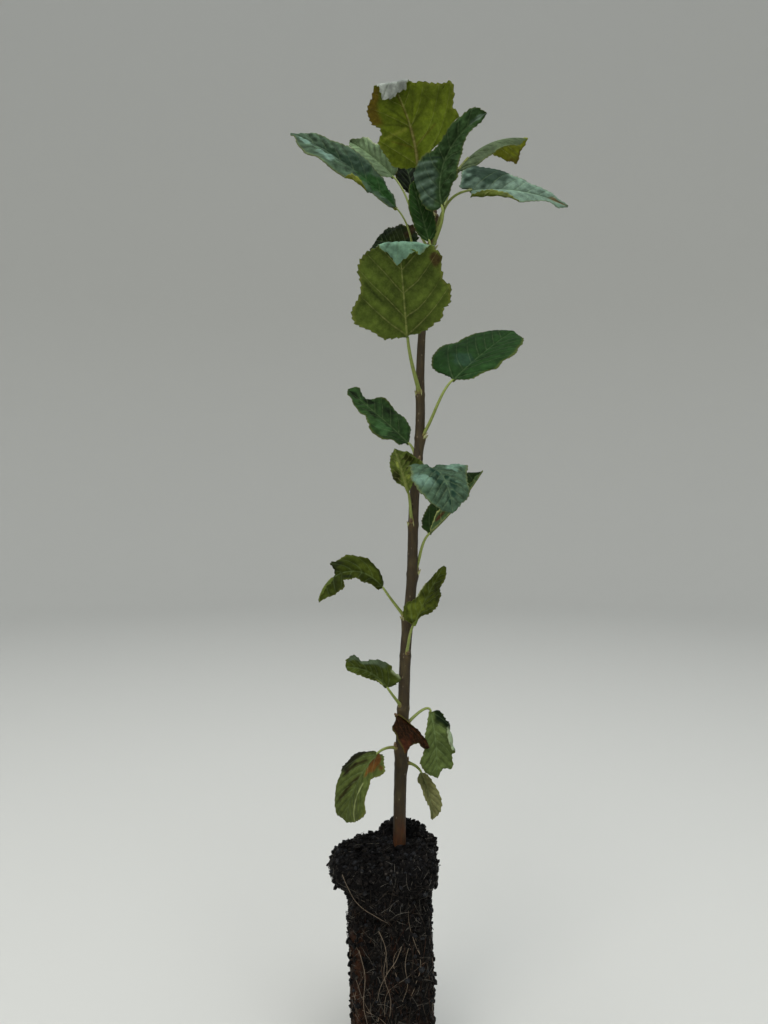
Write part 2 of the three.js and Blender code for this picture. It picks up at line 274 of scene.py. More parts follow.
leaves = [
    {"node": 207, "base": (18, 2, 202), "length": 32, "width": 16, "bearing": 317, "rise": -52, "bend": 40,
     "foldLeft": 70, "ripple": 1.6, "top": "#6b6c45", "under": "#737a4a",
     "edgeRight": ((6, 4), (6, 15), (4, 20), (1, 28)),
     "edgeLeft": ((4, 4), (7, 14), (8, 23), (6, 27))},
    {"node": 217, "base": (-12, -8, 218), "length": 50, "width": 41, "bearing": 210, "rise": -35,
     "bend": 50, "ripple": 1.2, "top": "#465026", "under": "#5d6a30",
     "blotches": (("#4c3013", -0.45, 0.1, 0.13), ("#5c3c18", -0.5, 0.24, 0.09)),
     # the near-black rim is painted shade on the rolled margin
     "rims": (("#120d0a", 1, 0.02, 0.44, 0.42),),
     "streaks": (("#1d1008", 3, 8, 9, 14, 1.2), ("#1d1008", 9, 14, 15, 24, 1.2),
         ("#1d1008", 1, 20, 9, 37, 1.5), ("#8c9460", -10, 22, -12, 46, 0.8)),
     "edgeRight": ((3, -1), (8, 1), (14, 4), (18, 8), (23, 16), (25, 20), (22, 24), (20, 28), (18, 34),
         (14, 43), (12, 49)),
     "edgeLeft": ((6, -1), (10, 0), (19, 5), (23, 8), (20, 13), (14, 17), (18, 24), (22, 28), (26, 35),
         (20, 42))},
    {"node": 232, "base": (25, 6, 243), "length": 46, "width": 25, "bearing": 283, "rise": -41, "bend": 60,
     # the pale underside colour is partly the underside's own paler colour, partly painted light where the
     # folded margin faces up
     "pucker": 0.7, "top": "#4e5c30", "under": "#8fa080",
     "tucks": ((-10, 12, 184, -150, 1.0),),
     # the near-black spot is painted deep shade under the folded-back lobe
     "blotches": (("#0f1a08", -0.75, 0.14, 0.2),),
     "edgeRight": ((4, 6), (6, 14), (8, 20), (8, 24), (10, 30), (12, 32), (12, 36), (10, 40), (6, 43)),
     "edgeLeft": ((7, -1), (9, 2), (10, 9), (15, 14), (16, 20), (15, 26), (10, 31), (11, 38), (10, 40),
         (6, 39), (4, 40), (2, 43))},
    {"node": 236, "base": (1, -8, 244), "length": 31, "width": 24, "bearing": 337, "rise": -32, "roll": -40,
     "bend": 30, "foldLeft": 30, "foldRight": 30, "dead": True, "teeth": 0.4, "ripple": 2.0, "pucker": 0.9,
     "top": "#1b0f04", "under": "#4a2a18",
     "streaks": (("#3b1d10", 16, 14, 22, 19, 1.8), ("#3b1d10", 8, 16, 16, 18, 1.4)),
     "edgeRight": ((12, 4), (14, 8), (19, 14), (24, 19), (18, 19), (12, 20), (6, 22), (6, 26)),
     "edgeLeft": ((1, 4), (1, 10), (2, 18), (2, 25))},
    {"node": 246, "base": (-5, -12, 263), "length": 34, "width": 18, "bearing": 195, "rise": 56, "roll": 70,
     "bend": 20, "sweep": -50, "foldLeft": 25, "foldRight": 25, "ripple": 1.6, "pucker": 0.7,
     "top": "#3b4518", "under": "#4a5a20", "hollow": 0.4,
     "blotches": (("#1c2412", 0.75, 0.45, 0.03), ("#1c2412", 0.6, 0.62, 0.03), ("#1c2412", 0.8, 0.78, 0.03),
         ("#7a8448", -0.5, 0.2, 0.12)),
     "rims": (("#8a9470", 1, 0.0, 0.2, 0.78), ("#4a5742", 1, 0.3, 0.95, 0.55)),
     "edgeRight": ((4, -2), (11, -2), (12, 0), (10, 6), (12, 8), (11, 12), (10, 16), (7, 20), (5, 24),
         (8, 28), (8, 31), (4, 34)),
     "edgeLeft": ((2, 4), (3, 8), (5, 15), (5, 22), (6, 26), (4, 30), (3, 33))},
    {"node": 282, "base": (12, -14, 306), "length": 46, "width": 30, "bearing": 325, "rise": 64,
     "roll": -65, "bend": 10, "ripple": 2.0, "pucker": 0.9, "wrinkle": 0.2, "top": "#3e4716",
     "under": "#53641f", "hollow": 0.4, "band": 0.2, "underMarks": 0.25,
     "blotches": (("#525d1e", -0.2, 0.25, 0.2), ("#2a3010", 0.7, 0.7, 0.14)),
     "rims": (("#a8ac84", -1, 0.36, 0.62, 0.78),),
     "edgeRight": ((4, 6), (6, 10), (10, 15), (12, 19), (16, 23), (16, 31), (10, 32), (8, 34), (8, 38),
         (6, 42)),
     "edgeLeft": ((8, -1), (13, -1), (16, 1), (18, 4), (16, 8), (12, 12), (7, 18), (7, 25), (8, 27),
         (6, 31), (4, 39), (2, 43))},
    {"node": 307, "base": (-8, -6, 330), "length": 62, "width": 22, "bearing": 190, "rise": 56, "roll": 45,
     "bend": 50, "sweep": -122, "pucker": 0.6, "top": "#2d350d", "under": "#42501c", "hollow": 0.35,
     "band": 0.18, "underMarks": 0.25,
     "blotches": (("#1c220a", 0.8, 0.6, 0.1), ("#1c220a", -0.6, 0.52, 0.07), ("#434d19", 0.3, 0.2, 0.16)),
     "edgeRight": ((4, 2), (6, 5), (8, 8), (12, 16), (12, 28), (11, 31), (9, 34), (10, 38), (5, 37),
         (1, 39), (-1, 44), (-1, 54)),
     "edgeLeft": ((6, 2), (6, 8), (7, 14), (8, 20), (6, 24), (6, 28), (7, 34), (6, 38), (10, 41), (10, 47),
         (9, 53), (5, 58))},
    {"node": 338, "base": (24, 4, 367), "length": 72, "width": 30, "bearing": 27, "rise": 38, "roll": -26,
     "bend": 6, "sweep": -22, "foldLeft": 5, "foldRight": 140, "top": "#1b2c0e", "under": "#324626",
     "blotches": (("#3c2412", 0.5, 0.2, 0.08),),
     "rims": (("#8a9058", 1, 0.0, 0.4, 0.78),),
     "edgeRight": ((2, 2), (4, 8), (7, 15), (8, 25), (6, 36), (4, 51)),
     "edgeLeft": ((8, 0), (15, 6), (19, 14), (21, 24), (20, 34), (20, 46), (22, 56), (18, 66), (10, 71))},
    {"node": 372, "base": (9, -7, 395), "length": 38, "width": 24, "bearing": 243, "rise": 62, "roll": -12,
     "bend": 26, "pucker": 1.1, "top": "#3a5524", "under": "#5e6e30", "hollow": 0.35, "band": 0.2,
     # the pale spots are painted glints and the dark ones painted shade inside the curl
     "blotches": (("#93a04c", 0.3, 0.6, 0.08), ("#93a04c", -0.2, 0.32, 0.06), ("#2a300f", 0.75, 0.35, 0.14),
         ("#33390f", -0.6, 0.7, 0.1)),
     "edgeRight": ((2, 5), (6, 8), (8, 13), (8, 24), (4, 32)),
     "edgeLeft": ((6, 8), (10, 12), (15, 16), (14, 20), (12, 24), (10, 28), (8, 32))},
    {"node": 414, "base": (22, -25, 410), "length": 54, "width": 44, "bearing": 288, "rise": 8, "bend": 88,
     "ripple": 1.4, "pucker": 1.0, "quilt": 0.5, "wrinkle": 0.3, "veinShow": 1.4, "top": "#3e5240",
     "under": "#5a6a2a", "hollow": 0.4, "band": 0.07, "underMarks": 0.25,
     # the pale blue-grey spots are painted sky sheen
     "blotches": (("#20362a", 0.22, 0.42, 0.09), ("#1d3226", -0.3, 0.63, 0.07),
         ("#1d3226", 0.2, 0.62, 0.06), ("#20362a", -0.2, 0.76, 0.05), ("#20362a", 0.12, 0.85, 0.05),
         ("#1a2e22", 0.45, 0.55, 0.05), ("#1a2e22", -0.1, 0.5, 0.045), ("#5d7868", -0.6, 0.25, 0.12),
         ("#5d7868", 0.7, 0.6, 0.1)),
     "edgeRight": ((6, -8), (11, -12), (17, 8), (24, 32), (20, 42), (16, 46), (8, 52)),
     "edgeLeft": ((4, 5), (10, 6), (21, 6), (23, 7), (18, 22), (14, 31), (14, 38), (10, 46), (6, 49))},
    {"node": 418, "base": (10, 7, 430), "length": 66, "width": 32, "bearing": 152, "rise": 43, "roll": 30,
     "bend": 10, "ripple": 1.6, "pucker": 0.8, "wrinkle": 0.2, "top": "#263c1d", "under": "#46541c",
     "hollow": 0.45, "band": 0.2, "underMarks": 0.25,
     # the near-black spots are painted shade in the curled, rumpled hollows
     "blotches": (("#0e1a08", 0.0, 0.92, 0.14), ("#0e1a08", 0.4, 0.72, 0.1), ("#101c0a", -0.4, 0.55, 0.07),
         ("#101c0a", 0.6, 0.45, 0.08), ("#33502c", -0.5, 0.3, 0.12)),
     "edgeRight": ((4, 3), (11, 10), (14, 18), (16, 32), (15, 38), (12, 44), (10, 48), (6, 53), (7, 60),
         (7, 64), (4, 66)),
     "edgeLeft": ((3, 1), (10, 1), (11, 6), (15, 9), (18, 20), (18, 24), (16, 30), (11, 36), (10, 50),
         (8, 55), (6, 60))},
    {"node": 432, "base": (39, -6, 472), "length": 69, "width": 56, "bearing": 30, "rise": 42, "roll": -22,
     "bend": 12, "foldRight": 5, "ripple": 0.7, "pucker": 0.25, "wrinkle": 0.04, "top": "#203a19",
     "under": "#4d5a1e", "hollow": 0.3, "underMarks": 0.25,
     # the blue-green spot is a painted highlight of the sky on the waxy face
     "blotches": (("#27402c", -0.2, 0.3, 0.1),),
     "edgeRight": ((9, 2), (14, 6), (18, 17), (22, 22), (21, 30), (24, 34), (23, 40), (20, 49), (21, 53),
         (18, 58), (12, 63)),
     "edgeLeft": ((4, 2), (8, 2), (16, 3), (23, 5), (28, 10), (32, 16), (34, 24), (34, 32), (28, 37),
         (25, 44), (22, 52), (18, 59), (13, 65))},
    {"node": 462, "base": (8, -24, 497), "length": 78, "width": 65, "bearing": 258, "rise": 62,
     "foldLeft": -4, "foldRight": -4, "arch": 6, "crease": (0.745, 165, -2, 3), "teeth": 1.3,
     "toothGap": 4.2, "veins": 4, "alternate": 2.5, "veinShow": 0.75, "stalk": 1.2, "top": "#314a2e",
     # the folded tip's pale mint colour is painted sky sheen
     "under": "#47561e", "tipSheen": "#607f6a", "hollow": 0.3, "band": 0.16,
     "blotches": (("#3a3016", -0.86, 0.62, 0.06),),
     "streaks": (("#26300c", 15, 25, 20, 31, 0.8), ("#26300c", 20, 31, 24, 37, 0.8)),
     "edgeRight": ((12, 0), (16, 0), (22, 4), (28, 8), (33, 12), (35, 16), (35, 21), (31, 27), (28, 32),
         (27, 38), (28, 45), (26, 52), (22, 56), (14, 58), (12, 69), (9, 70), (5, 72), (2, 76)),
     "edgeLeft": ((2, 2), (8, 2), (16, 6), (24, 12), (25, 17), (30, 22), (32, 32), (26, 36), (26, 51),
         (23, 55), (20, 66), (16, 70), (14, 72), (12, 70), (9, 70), (6, 73))},
    {"node": 530, "base": (13, 13, 569), "length": 38, "width": 33, "bearing": 142, "rise": 23, "roll": 62,
     # the near-black top colour is painted deep shade behind the leaves in front
     "bend": 8, "start": 0.36, "taper": 0.36, "teeth": 1.5, "scallop": 1.4, "top": "#14200b",
     "under": "#202c16",
     "blotches": (("#2a2010", 0.7, 0.3, 0.16), ("#1d260c", 0.3, 0.5, 0.24))},
    {"node": 580, "base": (13.5, 14, 606), "length": 46, "width": 24, "bearing": 125, "rise": 74, "roll": 4,
     # the near-black top colour is painted deep shade behind the leaves in front
     "bend": 14, "teeth": 1.3, "scallop": 1.2, "top": "#0a1206", "under": "#202c16",
     "blotches": (("#22341a", 0.0, 0.62, 0.2),)},
    {"node": 563, "base": (51, -10, 600), "length": 68, "width": 36, "bearing": 342, "rise": 0, "roll": -60,
     # the pale mint top colour is painted sky sheen
     "bend": 40, "stalkSlope": 75, "stalkLeave": 0.6, "top": "#637969", "under": "#46511a",
     "underMarks": 0.25,
     "tucks": ((8.5, 10, -6, -140, 0.9),),
     # the dark spot on the left lobe is painted shadow; the brownish tip is the leaf's own colour
     "blotches": (("#5e5238", 0.0, 0.95, 0.16), ("#25362a", -0.85, 0.16, 0.27)),
     "edgeRight": ((9, 1), (13, 7), (15, 14), (15, 24), (12, 33), (9, 40), (6, 47), (5, 53), (6, 59)),
     "edgeLeft": ((2, -1), (2, -5), (4, -8), (12, -8), (20, -8), (22, -4), (24, 0), (20, 8), (18, 16),
         (15, 24), (13, 28), (11, 34), (8, 39), (8, 46), (6, 52), (4, 58))},
    {"node": 575, "base": (44, 14, 623), "length": 61, "width": 34, "bearing": 8, "rise": 60, "roll": 10,
     "bend": 66, "twist": -20, "foldLeft": -30, "foldRight": -50, "top": "#49563c", "under": "#6f761c",
     "blotches": (("#49563c", -0.5, 0.0, 0.3),),
     "rims": (("#5a5018", -1, 0.78, 1.0, 0.78),),
     "edgeRight": ((8, 2), (12, 6), (13, 12), (12, 20), (10, 30), (8, 44), (7, 55)),
     "edgeLeft": ((1, 8), (3, 18), (7, 28), (11, 36), (16, 44), (20, 52), (23, 60))},
    {"node": 535, "base": (23, -11.5, 565), "length": 40, "width": 18, "bearing": 196, "rise": 73,
     "roll": 80, "taper": 0.6, "scallop": 1.2, "top": "#213917", "under": "#3a4a1a"},
    {"node": 560, "base": (31, -18, 586), "length": 70, "width": 30, "bearing": 155, "rise": 74, "roll": 92,
     "sweep": 92, "foldLeft": 32, "foldRight": 15, "pucker": 0.8, "wrinkle": 0.45, "top": "#2a3e22",
     "under": "#43521c", "hollow": 0.4, "band": 0.15, "underMarks": 0.25,
     "blotches": (("#56685a", 0.1, 0.94, 0.13), ("#3a4b3c", -0.6, 0.2, 0.2)),
     # the streaks pair dark and pale lines: painted shade and light along the wrinkles
     "streaks": (("#16261b", -13, 4, -3, 8, 0.9), ("#56695b", -14, 6, -4, 11, 0.8),
         ("#16261b", -15, 9, -3, 14, 0.9), ("#56695b", -16, 12, -5, 17, 0.8),
         ("#16261b", -17, 15, -4, 20, 0.9), ("#56695b", -17, 18, -6, 22, 0.7),
         ("#16261b", -17, 21, -4, 25, 0.9), ("#56695b", -16, 24, -5, 28, 0.7),
         ("#16261b", -14, 27, -3, 31, 0.8)),
     "edgeRight": ((4, 2), (8, 8), (10, 13), (14, 17), (13, 24), (12, 30), (10, 37), (8, 45), (6, 52),
         (4, 58), (4, 64)),
     "edgeLeft": ((3, -2), (8, -2), (12, 3), (14, 6), (15, 12), (18, 20), (17, 25), (14, 30), (10, 32),
         (8, 35), (8, 58), (8, 62), (6, 66))},
    {"node": 562, "base": (-1, 8, 617), "length": 50, "width": 24, "bearing": 159, "rise": 49, "roll": 55,
     "bend": 20, "foldLeft": 20, "foldRight": 40, "scallop": 1.2, "stalk": 0.75, "top": "#5d7051",
     "under": "#4d5a1e", "hollow": 0.35, "band": 0.15,
     "rims": (("#8a9474", 1, 0.0, 0.8, 0.8),)},
    {"node": 538, "base": (1, -9, 588), "length": 89, "width": 40, "bearing": 191, "rise": 44, "roll": 50,
     "bend": 24, "foldLeft": 14, "foldRight": 24, "ripple": 1.3, "pucker": 0.6, "quilt": 0.5,
     "veinSlope": 1.0, "stalk": 0.7, "top": "#3a4c3a", "under": "#5e6618", "hollow": 0.4, "band": 0.3,
     "underMarks": 0.25,
     "tucks": ((-16, 18, 200, -150, 1.0),),
     # the dark spots are painted shade on one half and the pale blue-grey ones painted sky sheen on the other
     "blotches": (("#24421f", 0.1, 0.2, 0.24), ("#26382a", 0.35, 0.45, 0.16), ("#223424", 0.1, 0.66, 0.1),
         ("#5d7668", -0.55, 0.62, 0.09), ("#5d7668", -0.5, 0.84, 0.08)),
     "edgeRight": ((6, 8), (12, 20), (14, 32), (17, 44), (17, 50), (14, 58), (10, 64), (10, 76), (6, 82)),
     "edgeLeft": ((8, 2), (10, 7), (10, 12), (12, 17), (20, 21), (25, 25), (26, 31), (21, 36), (22, 42),
         (25, 47), (26, 53), (24, 58), (24, 64), (20, 71), (14, 79))},
    {"node": 585, "base": (16, -2, 619), "length": 69, "width": 61, "bearing": 256, "rise": 63, "sweep": 34,
     "foldLeft": 0, "foldRight": 0, "arch": 6, "crease": (0.76, 165, -24, 2.5), "teeth": 1.2,
     # the folded tip's pale grey colour is painted sky sheen
     "toothGap": 4.2, "veins": 4, "veinShow": 0.4, "top": "#43573c", "under": "#526013", "tipSheen": "#868c85",
     "hollow": 0.1, "band": 0.12,
     "blotches": (("#5f701c", -0.5, 0.2, 0.2),),
     "rims": (("#52430c", 1, 0.5, 0.86, 0.62),),
     "streaks": (("#5c482a", 0, 2, 0, 26, 0.8), ("#4a3c10", 0, 26, 1, 50, 0.6),
         ("#3a4408", 1, 26, 16, 33, 0.8), ("#3a4408", 0, 27, 11, 44, 0.8), ("#3a4408", -1, 27, -9, 44, 0.8),
         ("#3a4408", -1, 26, -18, 36, 0.8), ("#767e2c", 4, 25, 19, 24, 1.2),
         ("#4e4a10", 1, 12, 15, 20, 0.6), ("#4e4a10", -1, 14, -16, 22, 0.6)),
     "edgeRight": ((6, 0), (10, 0), (18, 2), (20, 6), (24, 18), (25, 23), (20, 28), (20, 32), (24, 37),
         (24, 46), (22, 52), (17, 54), (13, 58), (10, 60), (4, 63)),
     "edgeLeft": ((1, 3), (5, 6), (11, 8), (17, 12), (27, 18), (34, 22), (30, 27), (34, 31), (35, 38),
         (28, 40), (19, 44), (11, 48), (12, 58), (8, 61), (6, 66))},
]

bladeMesh = {
    "cell": 0.75,           # mm between rows and columns
    "steps": 240,           # steps in which a midrib is walked
    "edgeStep": 0.2,        # mm between the points of a margin
    "rounding": 13,         # points over which its drawn corners are rounded off
    "evenRows": 0.28,       # how far the rows keep even steps where the margin doesn't
    "lean": 0.5,            # how far the rows slant forward on their way out, as the side veins do
    "clearance": 0.3,       # mm from the stalk's end
    "thickness": 1.3,       # mm at the rib's base, where it is thickest
    "lamina": 0.24,         # share of that between the veins
    "toothPeak": 0.76,      # share of a tooth that rises
    "ribDepth": 0.6, "ribWidth": 1.5,          # mm, of the midrib
    "grooveDepth": 0.3, "grooveWidth": 0.8,    # mm, of the side veins
    "veinHalfWidth": (0.42, 0.16),             # mm, of a side vein's colour at the midrib and at the margin
}


def turned(axes, about, degrees):
    turn = Matrix.Rotation(math.radians(degrees), 3, about)
    return [turn @ axis for axis in axes]


def midribTable(leaf):
    # one row per step along the midrib: place, forward along it, right across it, up out of the upper face
    bearing, rise = math.radians(leaf["bearing"]), math.radians(leaf["rise"])
    forward = Vector((math.cos(bearing) * math.cos(rise), math.sin(bearing) * math.cos(rise), math.sin(rise)))
    right = Vector((math.sin(bearing), -math.cos(bearing), 0))
    axes = turned([forward, right, right.cross(forward)], forward, -leaf["roll"])
    steps = bladeMesh["steps"]
    place = Vector(leaf["base"])
    rows = []
    for _ in range(steps + 1):
        rows.append([*place, *axes[0], *axes[1], *axes[2]])
        place = place + axes[0] * (leaf["length"] / steps)
        axes = turned(axes, axes[1], -leaf["bend"] / steps)
        axes = turned(axes, axes[2], -leaf["sweep"] / steps)
        axes = turned(axes, axes[0], -leaf["twist"] / steps)
    return np.array(rows)


def outline(leaf, t):
    # half-width in mm at a share of the length
    start, taper = leaf["start"], leaf["taper"]
    widest = start / (start + taper)
    return 0.5 * leaf["width"] * (t / widest) ** start * ((1 - t) / (1 - widest)) ** taper


def walkEdge(leaf, side, number):
    # the margin of one half in even steps, without its teeth: place, way along it, way out and run
    drawn = leaf["edgeRight"] if side > 0 else leaf["edgeLeft"]
    if drawn:
        corners = np.array([(0, 0), *drawn, (0, leaf["length"])], dtype=float)
    else:
        t = np.linspace(0, 1, 1500)
        corners = np.stack([outline(leaf, t), leaf["length"] * t], axis=1)
    run = runAlong(corners)
    arc = np.linspace(0, run[-1], round(run[-1] / bladeMesh["edgeStep"]))
    edge = np.stack([np.interp(arc, run, corners[:, k]) for k in (0, 1)], axis=1)
    if drawn:    # round the corners off
        count = bladeMesh["rounding"]
        padded = np.pad(edge, ((count // 2, count // 2), (0, 0)), mode="edge")
        edge = np.stack([np.convolve(padded[:, k], np.ones(count) / count, "valid") for k in (0, 1)], axis=1)
    way = np.gradient(edge, axis=0)
    way /= np.hypot(*way.T)[:, None]
    out = np.stack([way[:, 1], -way[:, 0]], axis=1)
    fade = smoothShare(4, 12, arc) * smoothShare(0, 8, arc[-1] - arc)
    edge += out * (leaf["scallop"] * fade * waves(arc, arc * 0, 12, number * 2 + (side > 0), 5))[:, None]
    return edge, way, out, arc


def toothProfile(phase, seed):
    # saw teeth that point to the leaf's tip, each of its own height
    dice = random.Random(seed * 97)
    heights = np.array([dice.uniform(0.5, 1.15) for _ in range(100)])
    peak = bladeMesh["toothPeak"]
    part = phase % 1
    rise = np.where(part < peak, (part / peak) ** 1.3, (1 - part) / (1 - peak))
    return rise * heights[phase.astype(int) % 100]


def flatLeaf(leaf, number, u, s):
    # place in the flattened leaf of every grid point: u runs across from -1 to 1, s from base to tip
    edges = {side: walkEdge(leaf, side, number) for side in (-1, 1)}
    steps = np.linspace(0, 1, 400)
    middles = []
    for edge, way, out, arc in edges.values():
        start = edge[:, 1] - bladeMesh["lean"] * edge[:, 0]
        middles.append(np.interp(steps, arc / arc[-1], start))
    middle = np.maximum.accumulate(np.maximum(np.mean(middles, axis=0), 0))
    even = bladeMesh["evenRows"]
    middle = leaf["length"] * ((1 - even) * middle / middle[-1] + even * steps)
    along = np.interp(s, steps, middle)
    x, y = np.zeros_like(u), along.copy()
    for side, (edge, way, out, arc) in edges.items():
        here = u * side > 0
        at = s * arc[-1]
        size = np.abs(u)
        fade = smoothShare(2, 8, at) * smoothShare(0, 5, arc[-1] - at)
        phase = (at + 1.2 * np.sin(at / 7 + number)) / leaf["toothGap"] + 3
        tooth = leaf["teeth"] * (toothProfile(phase, number + side) - 0.4) * fade * smoothShare(0.74, 1, size)
        reach = [np.interp(at, arc, edge[:, k]) for k in (0, 1)]
        tilt = [np.interp(at, arc, (out + 0.5 * way)[:, k]) for k in (0, 1)]
        x = np.where(here, side * (size * reach[0] + tooth * tilt[0]), x)
        y = np.where(here, along + size * (reach[1] - along) + tooth * tilt[1], y)
    return x, y


def veinField(leaf, number, x, y):
    # phase grows by one from side vein to side vein and is whole on each; gap is the mm that makes one
    length, count = leaf["length"], leaf["veins"]
    away = np.abs(x)
    side = np.sign(x)
    spread = smoothShare(0, 12, away)
    dice = random.Random(number * 13)
    heights = []
    for k in range(count + 1):
        share = 0.02 if k == 0 else 0.17 + 0.74 * ((k - 1) / count) ** 0.95
        jitter = dice.uniform(-0.02, 0.02) * length * (k > 0)
        shift = (side * leaf["alternate"] * (k > 0) + jitter * side) * spread
        slope = leaf["veinSlope"] * (0.85 + 0.5 * k / count)
        heights.append(share * length + shift + slope * away + 0.7 * away ** 2 / leaf["width"])
    heights = [heights[0] - 14] + heights + [heights[-1] + 14]
    gaps = [np.maximum(after - before, 0.5) for before, after in zip(heights, heights[1:])]
    # the phase stops short of whole before the first vein and after the last
    phase = sum(np.clip((y - heights[k]) / gap, 0.4 * (k == 0), 1 - 0.4 * (k == count + 1))
                for k, gap in enumerate(gaps))
    low = np.clip(phase.astype(int), 0, len(gaps) - 1)
    index = np.arange(len(x))
    between = [0.5 * (before + after) for before, after in zip(gaps, gaps[1:])]
    atVeins = np.array([gaps[0], *between, gaps[-1]])
    gap = atVeins[low, index] * (low + 1 - phase) + atVeins[low + 1, index] * (phase - low)
    return phase, np.minimum(gap, 16) * 0.7


def foldOver(leaf, points):
    # wraps what lies beyond the crease round it, towards the underside
    at, angle, skew, radius = leaf["crease"]
    row = midribTable(leaf)[round(at * bladeMesh["steps"])]
    middle, *axes = [Vector(row[k:k + 3]) for k in (0, 3, 6, 9)]
    forward, right, up = [np.array(axis) for axis in turned(axes, axes[2], -skew)]
    offset = points - np.array(middle)
    beyond, height = offset @ forward, offset @ up
    reach, drop = wrap(beyond, height, angle, radius)
    moved = points + np.outer(reach - beyond, forward) + np.outer(drop - height, up)
    return np.where((beyond > 0)[:, None], moved, points)


def wrap(beyond, height, angle, radius):
    whole = math.radians(angle)
    swing = np.clip(beyond / radius, 0, whole)
    rest = np.maximum(0, beyond - radius * whole)
    reach = (radius + height) * np.sin(swing) + rest * np.cos(swing)
    drop = (radius + height) * np.cos(swing) - radius - rest * np.sin(swing)
    return reach, drop


def tuckIn(tuck, x, y, height):
    # folds the flat leaf along a line; a negative angle folds towards the upper face
    px, py, way, angle, radius = tuck
    c, s = math.cos(math.radians(way)), math.sin(math.radians(way))
    beyond = (x - px) * c + (y - py) * s
    sign = 1 if angle > 0 else -1
    reach, drop = wrap(beyond, sign * height, abs(angle), radius)
    move = np.where(beyond > 0, reach - beyond, 0)
    return x + c * move, y + s * move, np.where(beyond > 0, sign * drop, height)


faceColor = {
    "slow": (24, 0.18), "quick": (7, 0.12),    # size in mm and strength of the changes all over a face
    "darkest": 0.25,                           # share of its colour that the darkest places keep
    "edge": "#7a7a3a", "edgeShare": 0.3,       # the yellower rim of every leaf
    "marks": (0.9, 0.8),                       # how much of a rim's and of a streak's colour shows
    "soft": (0.04, 0.17),                      # over what shares of the leaf a rim fades along and across
}


def faceTone(leaf, number, hexColor, u, x, y, paintedReliefShade, marks=1.0):
    # the face's colour with slow changes over it, painted light and shade of its relief, a yellower rim and
    # the leaf's marks, some of which are painted sheen and shade
    share = 1 + sum(strength * waves(x, y, size, number + seed)
                    for seed, (size, strength) in ((11, faceColor["slow"]), (31, faceColor["quick"])))
    tone = plainTone(len(u), hexColor)
    tone[:, :3] *= np.maximum(share * (1 + paintedReliefShade), faceColor["darkest"])[:, None]
    tone = mixTone(tone, faceColor["edge"], smoothShare(0.9, 1.0, np.abs(u)) * faceColor["edgeShare"])
    t = y / leaf["length"]
    for blotch, across, at, size in leaf["blotches"]:
        apart = np.hypot((u - across) * 0.35, t - at) / size + 0.25 * waves(x, y, 8, number + 71)
        tone = mixTone(tone, blotch, marks * (1 - smoothShare(0.6, 1.15, apart)))
    rimShare, streakShare = faceColor["marks"]
    soft, softAcross = faceColor["soft"]
    for rim, side, low, high, begin in leaf["rims"]:
        window = smoothShare(low - soft, low + soft, t) * (1 - smoothShare(high - soft, high + soft, t))
        window = window * smoothShare(begin, begin + softAcross, u * side)
        tone = mixTone(tone, rim, rimShare * marks * window)
    for streak, x0, y0, x1, y1, width in leaf["streaks"]:
        dx, dy = x1 - x0, y1 - y0
        run = np.clip(((x - x0) * dx + (y - y0) * dy) / (dx * dx + dy * dy), 0, 1)
        apart = np.hypot(x - x0 - run * dx, y - y0 - run * dy)
        tone = mixTone(tone, streak, streakShare * marks * np.exp(-(apart / width) ** 2))
    return tone


